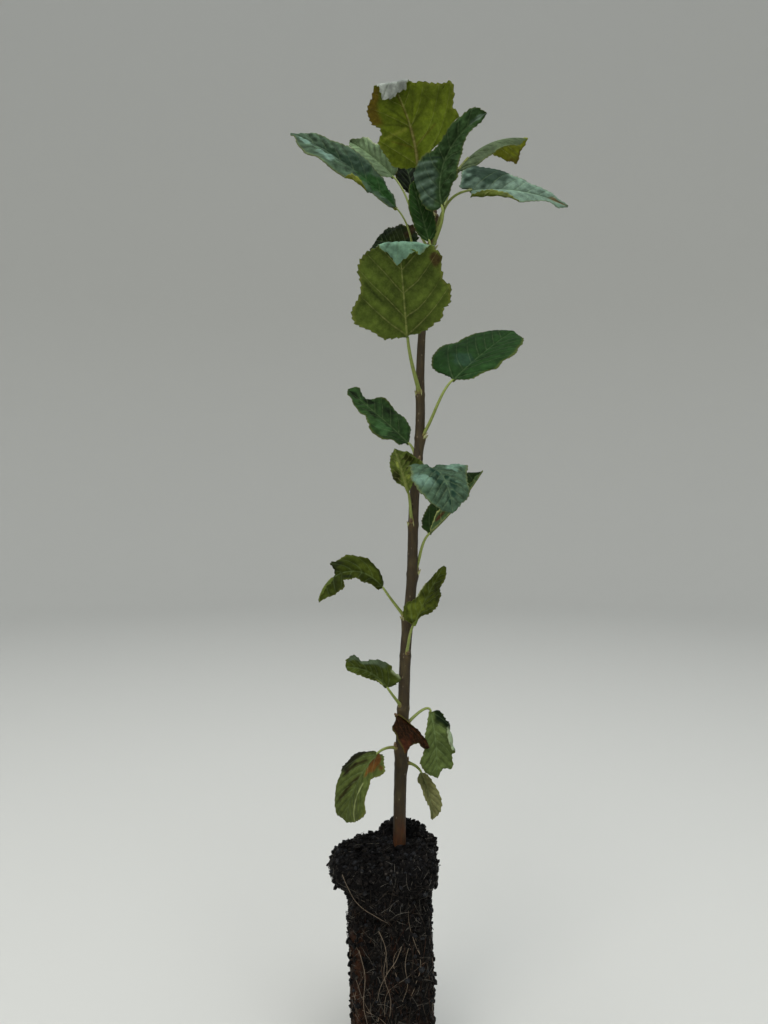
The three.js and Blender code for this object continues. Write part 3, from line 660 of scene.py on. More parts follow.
def makeBlade(leaf, number):
    cell, length = bladeMesh["cell"], leaf["length"]
    edges = [walkEdge(leaf, side, number) for side in (-1, 1)]
    columns = 2 * round(sum(edge[:, 0].max() for edge, way, out, arc in edges) / cell / 2) + 2
    rows = round(max(arc[-1] for edge, way, out, arc in edges) / cell)
    piece = addGrid("blade_%02d" % number, columns, rows)
    flat = readPoints(piece)
    u = flat[:, 0]
    flatX, flatY = flatLeaf(leaf, number, u, (flat[:, 1] + 1) / 2)
    side, out = np.sign(u), np.abs(u)

    # relief: veins lie low, and the skin between them swells and puckers
    x, y = flatX, flatY
    phase, gap = veinField(leaf, number, x, y)
    toVein = np.abs((phase + 0.5) % 1 - 0.5) * gap
    inside = smoothShare(0, 0.3, 1 - out) * smoothShare(0, 6, length - y)
    offRib = smoothShare(0, 4, np.abs(x))
    t = np.clip(y / length, 0, 1)
    rib = np.exp(-(x / (bladeMesh["ribWidth"] - t)) ** 2)
    groove = np.exp(-(toVein / bladeMesh["grooveWidth"]) ** 2) * offRib * (1 - 0.7 * out)
    pucker = waves(x, y, 7, number) * (1 - 0.6 * groove)
    height = inside * offRib * (leaf["quilt"] * np.minimum(1, toVein / 4) + leaf["pucker"] * pucker
                                + leaf["wrinkle"] * waves(x, y, 2.8, number + 90))
    height -= bladeMesh["grooveDepth"] * groove + bladeMesh["ribDepth"] * rib * (1 - 0.6 * t)
    wave = 0.6 * np.sin(y / 4.5 + 2 * number + 2 * side) + waves(x, y, 22, number + 50)
    height += leaf["ripple"] * out ** 3 * wave
    for tuck in leaf["tucks"]:
        x, y, height = tuckIn(tuck, x, y, height)

    # up onto the midrib's curve: each half lifts by its fold and arches down again
    fold = np.radians(np.where(u < 0, leaf["foldLeft"], leaf["foldRight"]) - leaf["arch"] * (out - 0.5))
    table = midribTable(leaf)
    steps = np.linspace(0, 1, len(table))
    share = np.clip(y / length, 0, 1)
    place, forward, right, up = [
        np.stack([np.interp(share, steps, table[:, k + i]) for i in range(3)], axis=1) for k in (0, 3, 6, 9)]
    across = x * np.cos(fold) - side * height * np.sin(fold)
    lift = np.abs(x) * np.sin(fold) + height * np.cos(fold)
    ahead = y - share * length + bladeMesh["clearance"]
    points = place + right * across[:, None] + up * lift[:, None] + forward * ahead[:, None]
    if leaf["crease"]:
        points = foldOver(leaf, points)
    writePoints(piece, points * mm)

    # what the skins read: the flattened place, the veins and the two faces' colours
    uv = piece.data.uv_layers[0]
    uv.name = "leafPlace"
    corners = np.empty(len(piece.data.loops), dtype=int)
    piece.data.loops.foreach_get("vertex_index", corners)
    uv.data.foreach_set("uv", (np.stack([flatX, flatY], axis=1)[corners] / skin["mapUnit"]).ravel())
    halfWidth = np.interp(out, (0, 1), bladeMesh["veinHalfWidth"]) * np.where(phase < 1.5, 1.3, 1.0)
    addNumbers(piece, "veinPhase", phase)
    addNumbers(piece, "veinWidth", np.minimum(halfWidth * leaf["veinShow"] / gap, 0.2))
    # painted shade in the grooves beside the veins, and painted light and shade on the two slopes of each
    # swelling between them
    hollow = np.exp(-(toVein / 1.7) ** 2) * offRib * (1 - out ** 2)
    paintedReliefShade = offRib * leaf["band"] * np.sin(2 * math.pi * phase) - leaf["hollow"] * hollow
    topTone = faceTone(leaf, number, leaf["top"], u, flatX, flatY, paintedReliefShade)
    if leaf["tipSheen"]:    # painted sky sheen: a pale colour on the upper face of a tip that is folded under
        at, angle, skew, radius = leaf["crease"]
        skew = math.radians(skew)
        beyond = (flatY - at * length) * math.cos(skew) + flatX * math.sin(skew)
        pale = faceTone(leaf, number, leaf["tipSheen"], u, flatX, flatY, paintedReliefShade)
        share = smoothShare(-5, 3, beyond)[:, None]
        topTone = topTone * (1 - share) + pale * share
    addColors(piece, "topTone", topTone)
    underTone = faceTone(leaf, number + 200, leaf["under"], u, flatX, flatY, paintedReliefShade, leaf["underMarks"])
    addColors(piece, "underTone", underTone)
    lamina = bladeMesh["lamina"]
    weights = lamina + (1 - lamina) * np.maximum(rib * (1 - 0.75 * t), 0.4 * groove)
    group = piece.vertex_groups.new(name="rib")
    for i, weight in enumerate(weights):
        group.add([i], float(weight), "REPLACE")

    for material in leafSkins["dead" if leaf["dead"] else "live"]:
        piece.data.materials.append(material)
    applyModifier(piece, "SOLIDIFY", thickness=bladeMesh["thickness"] * mm, offset=-1, vertex_group="rib",
                  material_offset=1, material_offset_rim=0)
    smoothShading(piece)
    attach(piece, "root")
    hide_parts("leaf_%02d_blade" % number)


# Leaf skin. Real one: a thin waxed green skin, semi-matt, dark and slightly blue above,
# paler and matt below with raised pale veins; a net of fine veins about 2 mm apart shows in raking light
skin = {
    "netGap": 2.1,             # mm between fine veins
    "ribHalfWidth": 0.55,      # mm at the base of the midrib
    "mapUnit": 100,            # mm in one unit of the leafPlace map
    # each face: attribute with its colour, colour and strength of its veins, strength of its net,
    # roughness, gloss and relief in mm
    "live": {"leafSkinUpper": ("topTone", "#7f9468", 0.15, 0.1, 0.6, 0.04, -0.5),
             "leafSkinUnder": ("underTone", "#9a9c60", 0.32, 0.14, 0.65, 0.1, 0.45)},
    "dead": {"deadLeafUpper": ("topTone", "#5c3a22", 0.3, 0.5, 0.85, 0.1, -0.4),
             "deadLeafUnder": ("underTone", "#5c3a22", 0.4, 0.5, 0.9, 0.1, 0.4)},
}


def leafSkin(name, toneName, veinColor, veinStrength, netStrength, roughness, gloss, relief):
    material = newMaterial(name)
    tone = addNode(material, "Attribute", {"attribute_name": toneName})
    phase = addNode(material, "Attribute", {"attribute_name": "veinPhase"})
    width = addNode(material, "Attribute", {"attribute_name": "veinWidth"})
    place = addNode(material, "UVMap", {"uv_map": "leafPlace"})
    xy = addNode(material, "SeparateXYZ", links={0: place})

    # side veins: narrow bands where the phase is whole
    toVein = addNode(material, "Math", {"operation": "PINGPONG", 1: 0.5}, {0: phase.outputs["Fac"]})
    sideShare = addNode(material, "Math", {"operation": "DIVIDE"}, {0: toVein, 1: width.outputs["Fac"]})
    side = addNode(material, "MapRange",
                   {"interpolation_type": "SMOOTHSTEP", "From Min": 0.4, "From Max": 1.7, "To Min": 0.8,
                    "To Max": 0.0}, {0: sideShare})

    # midrib: a band about the middle that narrows towards the tip
    half = skin["ribHalfWidth"] / skin["mapUnit"]
    away = addNode(material, "Math", {"operation": "ABSOLUTE"}, {0: xy})
    ribWidth = addNode(material, "MapRange",
                       {"From Min": 0.0, "From Max": 0.8, "To Min": half, "To Max": half * 0.3},
                       {0: xy.outputs[1]})
    ribShare = addNode(material, "Math", {"operation": "DIVIDE"}, {0: away, 1: ribWidth})
    rib = addNode(material, "MapRange",
                  {"interpolation_type": "SMOOTHSTEP", "From Min": 0.6, "From Max": 1.4, "To Min": 1.0,
                   "To Max": 0.0}, {0: ribShare})
    vein = addNode(material, "Math", {"operation": "MAXIMUM"}, {0: side, 1: rib})

    # net of fine veins between them, and a soft mottle
    net = addNode(material, "TexVoronoi",
                  {"feature": "DISTANCE_TO_EDGE", "Randomness": 0.9,
                   "Scale": skin["mapUnit"] / skin["netGap"]}, {"Vector": place})
    netLine = addNode(material, "MapRange",
                      {"From Min": 0.0, "From Max": 0.14, "To Min": netStrength, "To Max": 0.0},
                      {0: net.outputs["Distance"]})
    allVeins = addNode(material, "Math", {"operation": "MAXIMUM"}, {0: vein, 1: netLine})
    mottle, mottledTone = mottled(material, place, tone, 24.0, 5.0, 0.68, 0.66, 1.36)
    showing = addNode(material, "MapRange",
                      {"From Min": 0.4, "From Max": 0.6, "To Min": veinStrength * 0.4,
                       "To Max": veinStrength * 1.4}, {0: mottle})
    veinMix = addNode(material, "Math", {"operation": "MULTIPLY"}, {0: allVeins, 1: showing})
    colored = addNode(material, "Mix", {"data_type": "RGBA", 7: linear(veinColor)},
                      {0: veinMix, 6: mottledTone})

    # height: the veins lie low above and stand up below
    height = addNode(material, "Math", {"operation": "MULTIPLY_ADD", 1: 1.2}, {0: mottle, 2: allVeins})
    bump = addNode(material, "Bump", {"Strength": 0.6, "Distance": relief * mm}, {"Height": height})
    rough = addNode(material, "MapRange",
                    {"From Min": 0.25, "From Max": 0.75, "To Min": roughness - 0.07,
                     "To Max": roughness + 0.07}, {0: mottle})
    return finished(material, {"IOR": 1.42, "Specular IOR Level": gloss},
                    {"Base Color": colored.outputs[2], "Roughness": rough, "Normal": bump})


leafSkins = {kind: [leafSkin(name, *values) for name, values in skin[kind].items()]
             for kind in ("live", "dead")}

leaves = [{**plainLeaf, **leaf} for leaf in leaves]
for number, leaf in enumerate(leaves, start=1):
    makeBlade(leaf, number)
print("blades made:", len(leaves))


# Stem: where its middle line runs, its radius on the way up and what shows on its bark
stem = {
    "route": ((2.8, 0, 138), (3.9, 0, 205), (5.7, -1, 245), (7.5, -1, 290), (11.2, 0, 330), (13.3, 1, 390),
              (17.3, 1, 440), (17.6, 0, 485), (21, -1, 535), (29, 0, 588)),
    "radius": ((138, 4.2), (205, 4.3), (280, 3.8), (380, 3.5), (450, 3.2), (520, 2.5), (588, 1.2)),
    "foot": 138, "soil": 150, "flare": 0.3, "flareHeight": 7,
    "around": 60, "ringGap": 0.75,
    "cushion": 1.1,      # mm the bark stands out under each leaf
    "cushionSize": ((200, 0.8), (400, 1.0), (588, 0.6)),    # share of that at heights up the stem
    "ringScar": 0.3,     # mm the scar round the stem stands out at each leaf
    "wrinkle": 0.16,     # mm, fine grooves along the stem
    "skinRadius": 4,     # mm, for the patches of colour round the stem
    "young": "#55492e", "bark": "#322815", "grey": "#484026", "soilBark": "#45240a", "cushionBark": "#463a20",
}


def stemPlace(z):
    z = np.asarray(z, dtype=float)
    x, y = [smoothLine([(p[2], p[k]) for p in stem["route"]], z) for k in (0, 1)]
    return np.stack([x, y, z], axis=-1)


def stemRadius(z):
    flare = stem["flare"] * np.exp(-np.maximum(0, z - stem["soil"]) / stem["flareHeight"])
    return np.interp(z, *zip(*stem["radius"])) + flare


def stalkWay(leaf):
    # level direction in which a leaf's stalk leaves the stem
    way = np.array(leaf["base"][:2]) - stemPlace(leaf["node"])[:2]
    return way / np.hypot(*way)


def addTube(name, path, radii, level):
    # closed tube round a path; radii holds a radius for each ring and each way round
    # level is a direction across the path, from which the ways round are counted
    rings, around = radii.shape
    piece = addGrid(name, around, rings - 1)
    flat = readPoints(piece)
    ring = np.round((flat[:, 1] + 1) / 2 * (rings - 1)).astype(int)
    turn = np.round((flat[:, 0] + 1) / 2 * around).astype(int) % around
    along = np.gradient(path, axis=0)
    along /= np.linalg.norm(along, axis=1)[:, None]
    first = level - (along @ level)[:, None] * along
    first /= np.linalg.norm(first, axis=1)[:, None]
    second = np.cross(along, first)
    angle = 2 * math.pi * turn / around
    radius = radii[ring, turn]
    points = path[ring] + radius[:, None] * (
        first[ring] * np.cos(angle)[:, None] + second[ring] * np.sin(angle)[:, None])
    writePoints(piece, points * mm)
    return piece, ring, turn


def closedEnds(radii, rows):
    # rounds both ends of a tube off to a point
    share = np.sqrt(1 - (1 - np.minimum(1, np.arange(len(radii)) / rows)) ** 2)
    return radii * (share * share[::-1])[:, None]


def makeTrunk():
    heights = np.arange(stem["foot"], stem["route"][-1][2] + 0.01, stem["ringGap"])
    turns = 2 * math.pi * np.arange(stem["around"]) / stem["around"]
    z, turn = np.meshgrid(heights, turns, indexing="ij")
    radius = stemRadius(z)

    # each leaf's cushion with the ridge that runs down from it, and the ring scar round the stem
    cushion = np.zeros_like(z)
    for leaf in leaves:
        bearing = math.atan2(*stalkWay(leaf)[::-1])
        off = np.abs((turn - bearing + math.pi) % (2 * math.pi) - math.pi) * radius
        up = z - leaf["node"]
        size = np.interp(leaf["node"], *zip(*stem["cushionSize"]))
        ledge = np.exp(-(off / 2.6) ** 2) * np.where(up < 0, np.exp(-(up / 5) ** 2), np.exp(-(up / 1.6) ** 2))
        cushion += size * ledge + stem["ringScar"] * np.exp(-((up - 1) / 1.8) ** 2)
    rounds = [(math.cos(a) * 3.2, math.sin(a) * 3.2) for a in turns]
    grain = np.array([[noise.fractal((*place, h / 9), 0.9, 2.1, 5) for place in rounds] for h in heights])
    radius = radius + stem["cushion"] * cushion + stem["wrinkle"] * grain * np.minimum(1, radius / 3)
    path, level = stemPlace(heights), np.array([1.0, 0, 0])
    piece, ring, turn = addTube("trunk_bark", path, closedEnds(radius, 3), level)

    # colour: reddish at the soil, dark brown, then green-brown where the shoot is young
    high, side = heights[ring], turns[turn] * stem["skinRadius"]
    tone = plainTone(len(high), stem["bark"])
    patches = waves(side, high, 14, 5) + 0.6 * waves(side, high / 4, 3, 6)
    tone = mixTone(tone, stem["grey"], 0.5 * smoothShare(0.0, 1.2, patches))
    tone = mixTone(tone, stem["young"], 0.8 * smoothShare(480, 560, high))
    aboveSoil = smoothShare(154, 184, high + 7 * waves(side, high, 9, 8))
    tone = mixTone(tone, stem["soilBark"], 0.85 * (1 - aboveSoil))
    tone = mixTone(tone, stem["cushionBark"], np.clip(cushion[ring, turn], 0, 1) * 0.6)
    addColors(piece, "tone", tone)
    mergeDoubles(piece)
    smoothShading(piece)
    return piece


# Bark. Real one: thin smooth bark of a young stem, dull, dark brown with a grey skin over it,
# fine wrinkles along it and pale raised pores about 1 mm long
def stemBark():
    material, tone, place = tonedMaterial("youngBark")
    # stretched four times along the stem: streaks about 1.2 mm wide
    streaked = addNode(material, "Mapping", {"Scale": (1.0, 1.0, 0.22)}, {"Vector": place})
    streaks, shaded = mottled(material, streaked, tone, 1 / (1.2 * mm), 6.0, 0.65, 0.6, 1.45)
    # pores: one to every 3.4 mm, a little taller than wide
    poreSpace = addNode(material, "Mapping", {"Scale": (1.0, 1.0, 0.6)}, {"Vector": place})
    pores = addNode(material, "TexVoronoi", {"Scale": 1 / (3.4 * mm), "Randomness": 1.0},
                    {"Vector": poreSpace})
    pore = addNode(material, "MapRange",
                   {"interpolation_type": "SMOOTHSTEP", "From Min": 0.1, "From Max": 0.17, "To Min": 0.3,
                    "To Max": 0.0}, {0: pores.outputs["Distance"]})
    colored = addNode(material, "Mix", {"data_type": "RGBA", 7: linear("#9a8a70")}, {0: pore, 6: shaded})
    height = addNode(material, "Math", {"operation": "ADD"}, {0: streaks, 1: pore})
    bump = addNode(material, "Bump", {"Strength": 0.7, "Distance": 0.35 * mm}, {"Height": height})
    rough = addNode(material, "MapRange",
                    {"From Min": 0.3, "From Max": 0.7, "To Min": 0.55, "To Max": 0.8}, {0: streaks})
    return finished(material, {"IOR": 1.45, "Specular IOR Level": 0.4},
                    {"Base Color": colored.outputs[2], "Roughness": rough, "Normal": bump})


# Stalks: a grooved green stalk for each leaf, with the bud in its axil and, on the upper half, two stipules
stalkSizes = {
    "rootRadius": 1.3, "tipRadius": 0.8, "endRadius": 0.5, "arrive": 0.35, "steps": 46, "around": 14,
    "intoBlade": 1.5,    # mm the stalk runs on under the blade
    "foot": 0.9,         # mm it widens by where it sits on the stem
    "groove": 0.22,      # share of the radius
    "green": "#7d8a45", "red": "#6a5030", "dead": "#54402a",
    "bud": 4.6, "budRadius": 1.25, "budScales": 3, "budColor": "#54402c", "budTip": "#8a7a58",
    "stipule": 4.6, "stipuleWidth": 2.4, "stipuleColor": "#a9ac78", "stipuleTip": "#8a6a48",
    "stipulesAbove": 300,    # mm up the stem
}


def stalkPath(leaf, count):
    foot, end = stemPlace(leaf["node"]), np.array(leaf["base"], dtype=float)
    forward = midribTable(leaf)[0][3:6]
    reach = np.linalg.norm(end - foot)
    slope = math.radians(leaf["stalkSlope"])
    leaving = np.array([*(stalkWay(leaf) * math.cos(slope)), math.sin(slope)])
    handles = [foot, foot + leaving * leaf["stalkLeave"] * reach,
               end - forward * stalkSizes["arrive"] * reach, end]
    s = np.linspace(0, 1, count)[:, None]
    curve = sum(k * (1 - s) ** (3 - i) * s ** i * handles[i] for i, k in enumerate((1, 3, 3, 1)))
    return np.concatenate([curve, [end + forward * stalkSizes["intoBlade"] * share for share in (0.5, 1)]])


def makeStalk(leaf, number):
    # the stalk itself; its groove faces the way the blade's upper face does
    path = stalkPath(leaf, stalkSizes["steps"])
    run = runAlong(path)
    outside = run - stemRadius(leaf["node"])
    ends = (stalkSizes["rootRadius"], stalkSizes["tipRadius"], stalkSizes["endRadius"])
    radius = np.interp(run, (0, run[-3], run[-1]), ends)
    radius = radius * leaf["stalk"] + stalkSizes["foot"] * np.exp(-(np.maximum(0, outside) / 2.2) ** 2)
    turns = 2 * math.pi * np.arange(stalkSizes["around"]) / stalkSizes["around"]
    groove = 1 - stalkSizes["groove"] * np.exp(-((turns - math.pi) / 0.5) ** 2)
    up = midribTable(leaf)[0][9:12]
    name = "stalk_%02d" % number
    piece, ring, turn = addTube(name, path, closedEnds(radius[:, None] * groove[None, :], 2), -up)
    tone = plainTone(len(ring), stalkSizes["dead" if leaf["dead"] else "green"])
    tone = mixTone(tone, stalkSizes["red"], 0.75 * np.exp(-(np.maximum(0, outside[ring] - 0.5) / 2.5) ** 2))
    patches = waves(run[ring], turns[turn] * 2, 12, number)
    tone = mixTone(tone, stalkSizes["red"], 0.3 * smoothShare(0.2, 1.2, patches))
    addColors(piece, "tone", tone)
    mergeDoubles(piece)
    parts = [piece, makeBud(leaf, number)]
    if leaf["node"] > stalkSizes["stipulesAbove"]:
        parts += [makeStipule(leaf, number, side) for side in (-1, 1)]
    piece = joinPieces(name, parts)
    piece.data.materials.clear()
    piece.data.materials.append(stalkSkin)
    smoothShading(piece)
    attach(piece, "root")
    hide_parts("leaf_%02d_stalk" % number)


def axilFrame(leaf):
    # point on the stem's skin where the stalk leaves it, and the ways out, along the stem and across
    out = np.array([*stalkWay(leaf), 0.0])
    along = stemPlace(leaf["node"] + 2) - stemPlace(leaf["node"] - 2)
    along /= np.linalg.norm(along)
    skin = stemPlace(leaf["node"]) + out * stemRadius(leaf["node"])
    return skin, out, along, np.cross(along, out)


def makeBud(leaf, number):
    # an egg of overlapping scales in the axil, pressed to the stem
    skin, out, along, across = axilFrame(leaf)
    s = np.linspace(0, 1, 22)
    scale = (s * stalkSizes["budScales"]) % 1    # how far out of its scale each ring is
    size = random.Random(number).uniform(0.85, 1.15)
    radius = stalkSizes["budRadius"] * size * np.sin(math.pi * s ** 0.75) ** 0.8 * (1.06 - 0.12 * scale)
    start = skin + along * 2.2 - out * 0.4
    path = start + np.outer(s * stalkSizes["bud"] * size, along + 0.38 * out) + np.outer(0.4 * s * s, -out)
    radii = np.repeat(np.nan_to_num(radius)[:, None], 12, axis=1)
    radii[0] = radii[-1] = 0
    piece, ring, turn = addTube("bud", path, radii, out)
    tone = plainTone(len(ring), stalkSizes["budColor"])
    pale = 0.6 * smoothShare(0.1, 0.3, scale) * smoothShare(0.3, 1, s)
    addColors(piece, "tone", mixTone(tone, stalkSizes["budTip"], pale[ring]))
    mergeDoubles(piece)
    return piece


def makeStipule(leaf, number, side):
    # a thin pale lance beside the stalk's foot, curving outward
    skin, out, along, across = axilFrame(leaf)
    dice = random.Random(number * 2 + side)
    length = stalkSizes["stipule"] * dice.uniform(0.7, 1.15)
    piece = addGrid("stipule", 6, 14)
    flat = readPoints(piece)
    u, t = flat[:, 0], (flat[:, 1] + 1) / 2
    lance = np.sin(math.pi * np.clip(t, 0.12, 0.985)) ** 0.7 * (1.15 - 0.6 * t)
    half = 0.5 * stalkSizes["stipuleWidth"] * lance
    start = skin + side * across * 1.5 - along * 0.6 - out * 0.3
    lean = 0.2 + 0.35 * t * dice.uniform(0.6, 1.4)
    middle = start + (along * (length * t)[:, None] + out * (length * t * lean)[:, None]
                      + across * (side * length * 0.18 * t ** 1.5)[:, None])
    width = 0.75 * out * side + 0.65 * across
    dish = -0.25 * (1 - u * u) * np.sin(math.pi * t)
    points = middle + width * (u * half)[:, None] + out * dish[:, None]
    writePoints(piece, points * mm)
    tone = plainTone(len(u), stalkSizes["stipuleColor"])
    addColors(piece, "tone", mixTone(tone, stalkSizes["stipuleTip"], smoothShare(0.55, 1, t) * 0.6))
    applyModifier(piece, "SOLIDIFY", thickness=0.25 * mm, offset=0)
    return piece


# Leaf stalk. Real one: fibrous green stalk, satin, with faint lines along it, reddish where it joins the stem
def makeStalkSkin():
    material, tone, place = tonedMaterial("stalkSkin")
    fleck, colored = mottled(material, place, tone, 1 / (1.5 * mm), 4.0, 0.6, 0.75, 1.2)
    bump = addNode(material, "Bump", {"Strength": 0.4, "Distance": 0.2 * mm}, {"Height": fleck})
    return finished(material, {"IOR": 1.42, "Roughness": 0.5, "Specular IOR Level": 0.4},
                    {"Base Color": colored, "Normal": bump})


stalkSkin = makeStalkSkin()
for number, leaf in enumerate(leaves, start=1):
    makeStalk(leaf, number)
print("stalks made")

trunk = makeTrunk()
trunk.data.materials.append(stemBark())
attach(trunk, "root")
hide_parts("trunk")
print("trunk made")


# Root ball: a straight plug bound by roots, with a wider loose lump above it that leans to the left
ball = {
    "plug": {"middle": (-2, 0, 58), "size": (54, 56, 128), "tilt": -2, "bevel": 9},    # mm
    "lump": {"middle": (-3, 0, 138), "size": (61, 62, 27), "tilt": -2, "bevel": 12.5},
    "clods": (((5, 22, 151), (17, 11, 10)), ((-30, -2, 139), (15, 26, 13)), ((16.5, -4, 141), (12, 24, 12)),
              ((-6, -18, 126), (26, 14, 18)), ((22, 20, 142), (8, 11, 9)), ((-14, 22, 138), (18, 12, 12))),
    "voxel": 0.95,
    "smoothing": 6,
    "hollow": (26, 3.0), "clod": (7, 3.2), "crumb": (2.4, 1.3),    # size and height of the relief, mm
    "looseAbove": 108,    # mm, where the plug ends and the lump begins
    "peat": "#0a0908", "loosePeat": "#070606", "brown": "#22140c", "rust": "#3b2110",
}


def addBlock(middle, size, tilt, bevel):
    deselectAll()
    bpy.ops.mesh.primitive_cube_add(size=1, location=Vector(middle) * mm, rotation=(0, math.radians(tilt), 0),
                                    scale=Vector(size) * mm)
    bpy.ops.object.transform_apply(location=True, rotation=True, scale=True)
    block = bpy.context.object
    editAll(block, bpy.ops.mesh.bevel, offset=bevel * mm, segments=4)
    return block


def addClod(middle, size):
    deselectAll()
    bpy.ops.mesh.primitive_ico_sphere_add(subdivisions=3, radius=1, location=Vector(middle) * mm,
                                          scale=Vector(size) * mm)
    bpy.ops.object.transform_apply(location=True, rotation=True, scale=True)
    return bpy.context.object


def displace(piece, kind, size, height, **settings):
    texture = bpy.data.textures.new("relief", kind)
    texture.noise_scale = size * mm
    for key, value in settings.items():
        setattr(texture, key, value)
    applyModifier(piece, "DISPLACE", texture=texture, strength=height * mm, mid_level=0.5,
                  texture_coords="LOCAL")


def makeCompost():
    blocks = [addBlock(**ball["plug"]), addBlock(**ball["lump"])]
    blocks += [addClod(middle, size) for middle, size in ball["clods"]]
    piece = joinPieces("compost_ball", blocks)
    applyModifier(piece, "REMESH", mode="VOXEL", voxel_size=ball["voxel"] * mm)
    applyModifier(piece, "SMOOTH", iterations=ball["smoothing"], factor=0.5)
    displace(piece, "CLOUDS", *ball["hollow"])
    displace(piece, "CLOUDS", *ball["clod"], noise_depth=4)
    displace(piece, "VORONOI", *ball["crumb"])
    points = readPoints(piece)
    points[:, 2] = np.maximum(points[:, 2], 0)    # it stands on a flat foot
    writePoints(piece, points)
    x, y, z = points.T / mm
    loose = smoothShare(-14, 14, z - ball["looseAbove"] + 10 * waves(x + y, z, 20, 3))
    tone = plainTone(len(x), ball["peat"])
    tone = mixTone(tone, ball["brown"], 0.6 * smoothShare(0.3, 1.2, waves(x - y, z / 2, 14, 21)))
    rusty = (1 - loose) * smoothShare(18, 27, -x) * smoothShare(-1.2, 0.4, waves(y, z / 2, 12, 23))
    tone = mixTone(tone, ball["rust"], 0.8 * rusty)
    tone = mixTone(tone, ball["loosePeat"], loose)
    addColors(piece, "tone", tone)
    smoothShading(piece)
    return piece


# Compost. Real one: moist dark peat and bark crumbs, matt and nearly black, with a few brown bits
def compostMaterial():
    material, tone, place = tonedMaterial("moistCompost")
    bits = addNode(material, "TexVoronoi", {"Scale": 1 / (1.3 * mm), "Randomness": 1.0}, {"Vector": place})
    deal = addNode(material, "SeparateColor", links={0: bits.outputs["Color"]})
    ramp = addNode(material, "ValToRGB", links={0: deal})
    stops = ((0.0, "#000000"), (0.88, "#000000"), (0.96, "#171412"), (1.0, "#35322e"))
    while len(ramp.color_ramp.elements) < len(stops):
        ramp.color_ramp.elements.new(0.5)
    for element, (at, hexColor) in zip(ramp.color_ramp.elements, stops):
        element.position = at
        element.color = linear(hexColor)
    grain, dark = mottled(material, place, tone, 1 / (1.4 * mm), 6.0, 0.7, 0.4, 1.7)
    colored = addNode(material, "Mix", {"data_type": "RGBA", "blend_type": "ADD", 0: 1.0},
                      {6: dark, 7: ramp})
    bump = addNode(material, "Bump", {"Strength": 1.0, "Distance": 0.8 * mm}, {"Height": grain})
    return finished(material, {"IOR": 1.45, "Roughness": 0.6, "Specular IOR Level": 0.1},
                    {"Base Color": colored.outputs[2], "Normal": bump})


compost = makeCompost()
compost.data.materials.append(compostMaterial())
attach(compost, "root")
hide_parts("root_ball")
print("compost made:", len(compost.data.polygons), "faces")


# Loose crumbs on the ball, and the roots and fibres that bind it, both laid on its skin
corners = [Vector(p) for p in readPoints(compost)]
compostSkin = BVHTree.FromPolygons(corners, [f.vertices[:] for f in compost.data.polygons])
ballPlace = {"middle": (-2, 0), "clear": 90, "above": 190}    # mm; rays start clear of the ball and above it


def hitBall(start, way):
    # where a ray meets the ball's skin and the way out of it there, mm
    hit, normal, _, _ = compostSkin.ray_cast(Vector(start) * mm, Vector(way))
    return (None, None) if hit is None else (hit / mm, normal)


def onSide(bearing, z):
    way = Vector((math.cos(bearing), math.sin(bearing), 0))
    return hitBall(Vector((*ballPlace["middle"], z)) + way * ballPlace["clear"], -way)


def onTop(x, y):
    return hitBall((x, y, ballPlace["above"]), (0, 0, -1))


crumbSizes = {
    "count": 3600, "small": 0.7, "large": 2.5,    # mm
    "proud": 0.3,                          # share of their size that they stand out by
    "atStem": 90, "fromStem": (4.2, 8),    # how many lie round the stem, and how far from its middle
    "shareOnTop": 0.3, "topX": (-42, 33), "topY": (-34, 34), "sideTop": 150, "lowest": 2.5,
    # the last, cool grey colour makes painted highlights: glints on moist crumbs
    "colors": ("#040404", "#060505", "#090808", "#0f0d0c", "#171412", "#202123"),
}


def scatterCrumbs():
    deselectAll()
    bpy.ops.mesh.primitive_ico_sphere_add(subdivisions=1, radius=1)
    crumb = bpy.context.object
    shape = readPoints(crumb)
    faces = np.array([f.vertices[:] for f in crumb.data.polygons])
    bpy.data.objects.remove(crumb)
    dice = random.Random(4)
    allPoints, allFaces, allTones = [], [], []
    while len(allPoints) < crumbSizes["count"]:
        if len(allPoints) < crumbSizes["atStem"]:
            bearing, away = dice.uniform(0, 2 * math.pi), dice.uniform(*crumbSizes["fromStem"])
            x, y = stemPlace(stem["soil"])[:2] + away * np.array([math.cos(bearing), math.sin(bearing)])
            place, normal = onTop(x, y)
        elif dice.random() < crumbSizes["shareOnTop"]:
            place, normal = onTop(dice.uniform(*crumbSizes["topX"]), dice.uniform(*crumbSizes["topY"]))
        else:
            place, normal = onSide(dice.uniform(0, 2 * math.pi), crumbSizes["sideTop"] * dice.random() ** 0.6)
        if place is None or place.z < crumbSizes["lowest"]:
            continue
        size = crumbSizes["small"] + (crumbSizes["large"] - crumbSizes["small"]) * dice.random() ** 3
        swing = dice.uniform(0, 6.3)
        turn = Matrix.Rotation(swing, 3, Vector((dice.gauss(0, 1), dice.gauss(0, 1), dice.gauss(0, 1))))
        stretch = Matrix.Diagonal([size * dice.uniform(0.5, 1.2) for _ in range(3)])
        uneven = np.array([[dice.uniform(0.75, 1.2)] for _ in shape])
        middle = np.array(place + normal * size * crumbSizes["proud"])
        allFaces.append(faces + len(allPoints) * len(shape))
        allPoints.append((shape * uneven) @ np.array(turn @ stretch).T + middle)
        allTones += [linear(dice.choice(crumbSizes["colors"]))] * len(shape)
    mesh = bpy.data.meshes.new("compost_crumbs")
    mesh.from_pydata(np.concatenate(allPoints) * mm, [], np.concatenate(allFaces).tolist())
    piece = bpy.data.objects.new("compost_crumbs", mesh)
    bpy.context.collection.objects.link(piece)
    addColors(piece, "tone", allTones)
    return piece


crumbs = scatterCrumbs()
crumbs.data.materials.append(compost.data.materials[0])
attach(crumbs, "root")

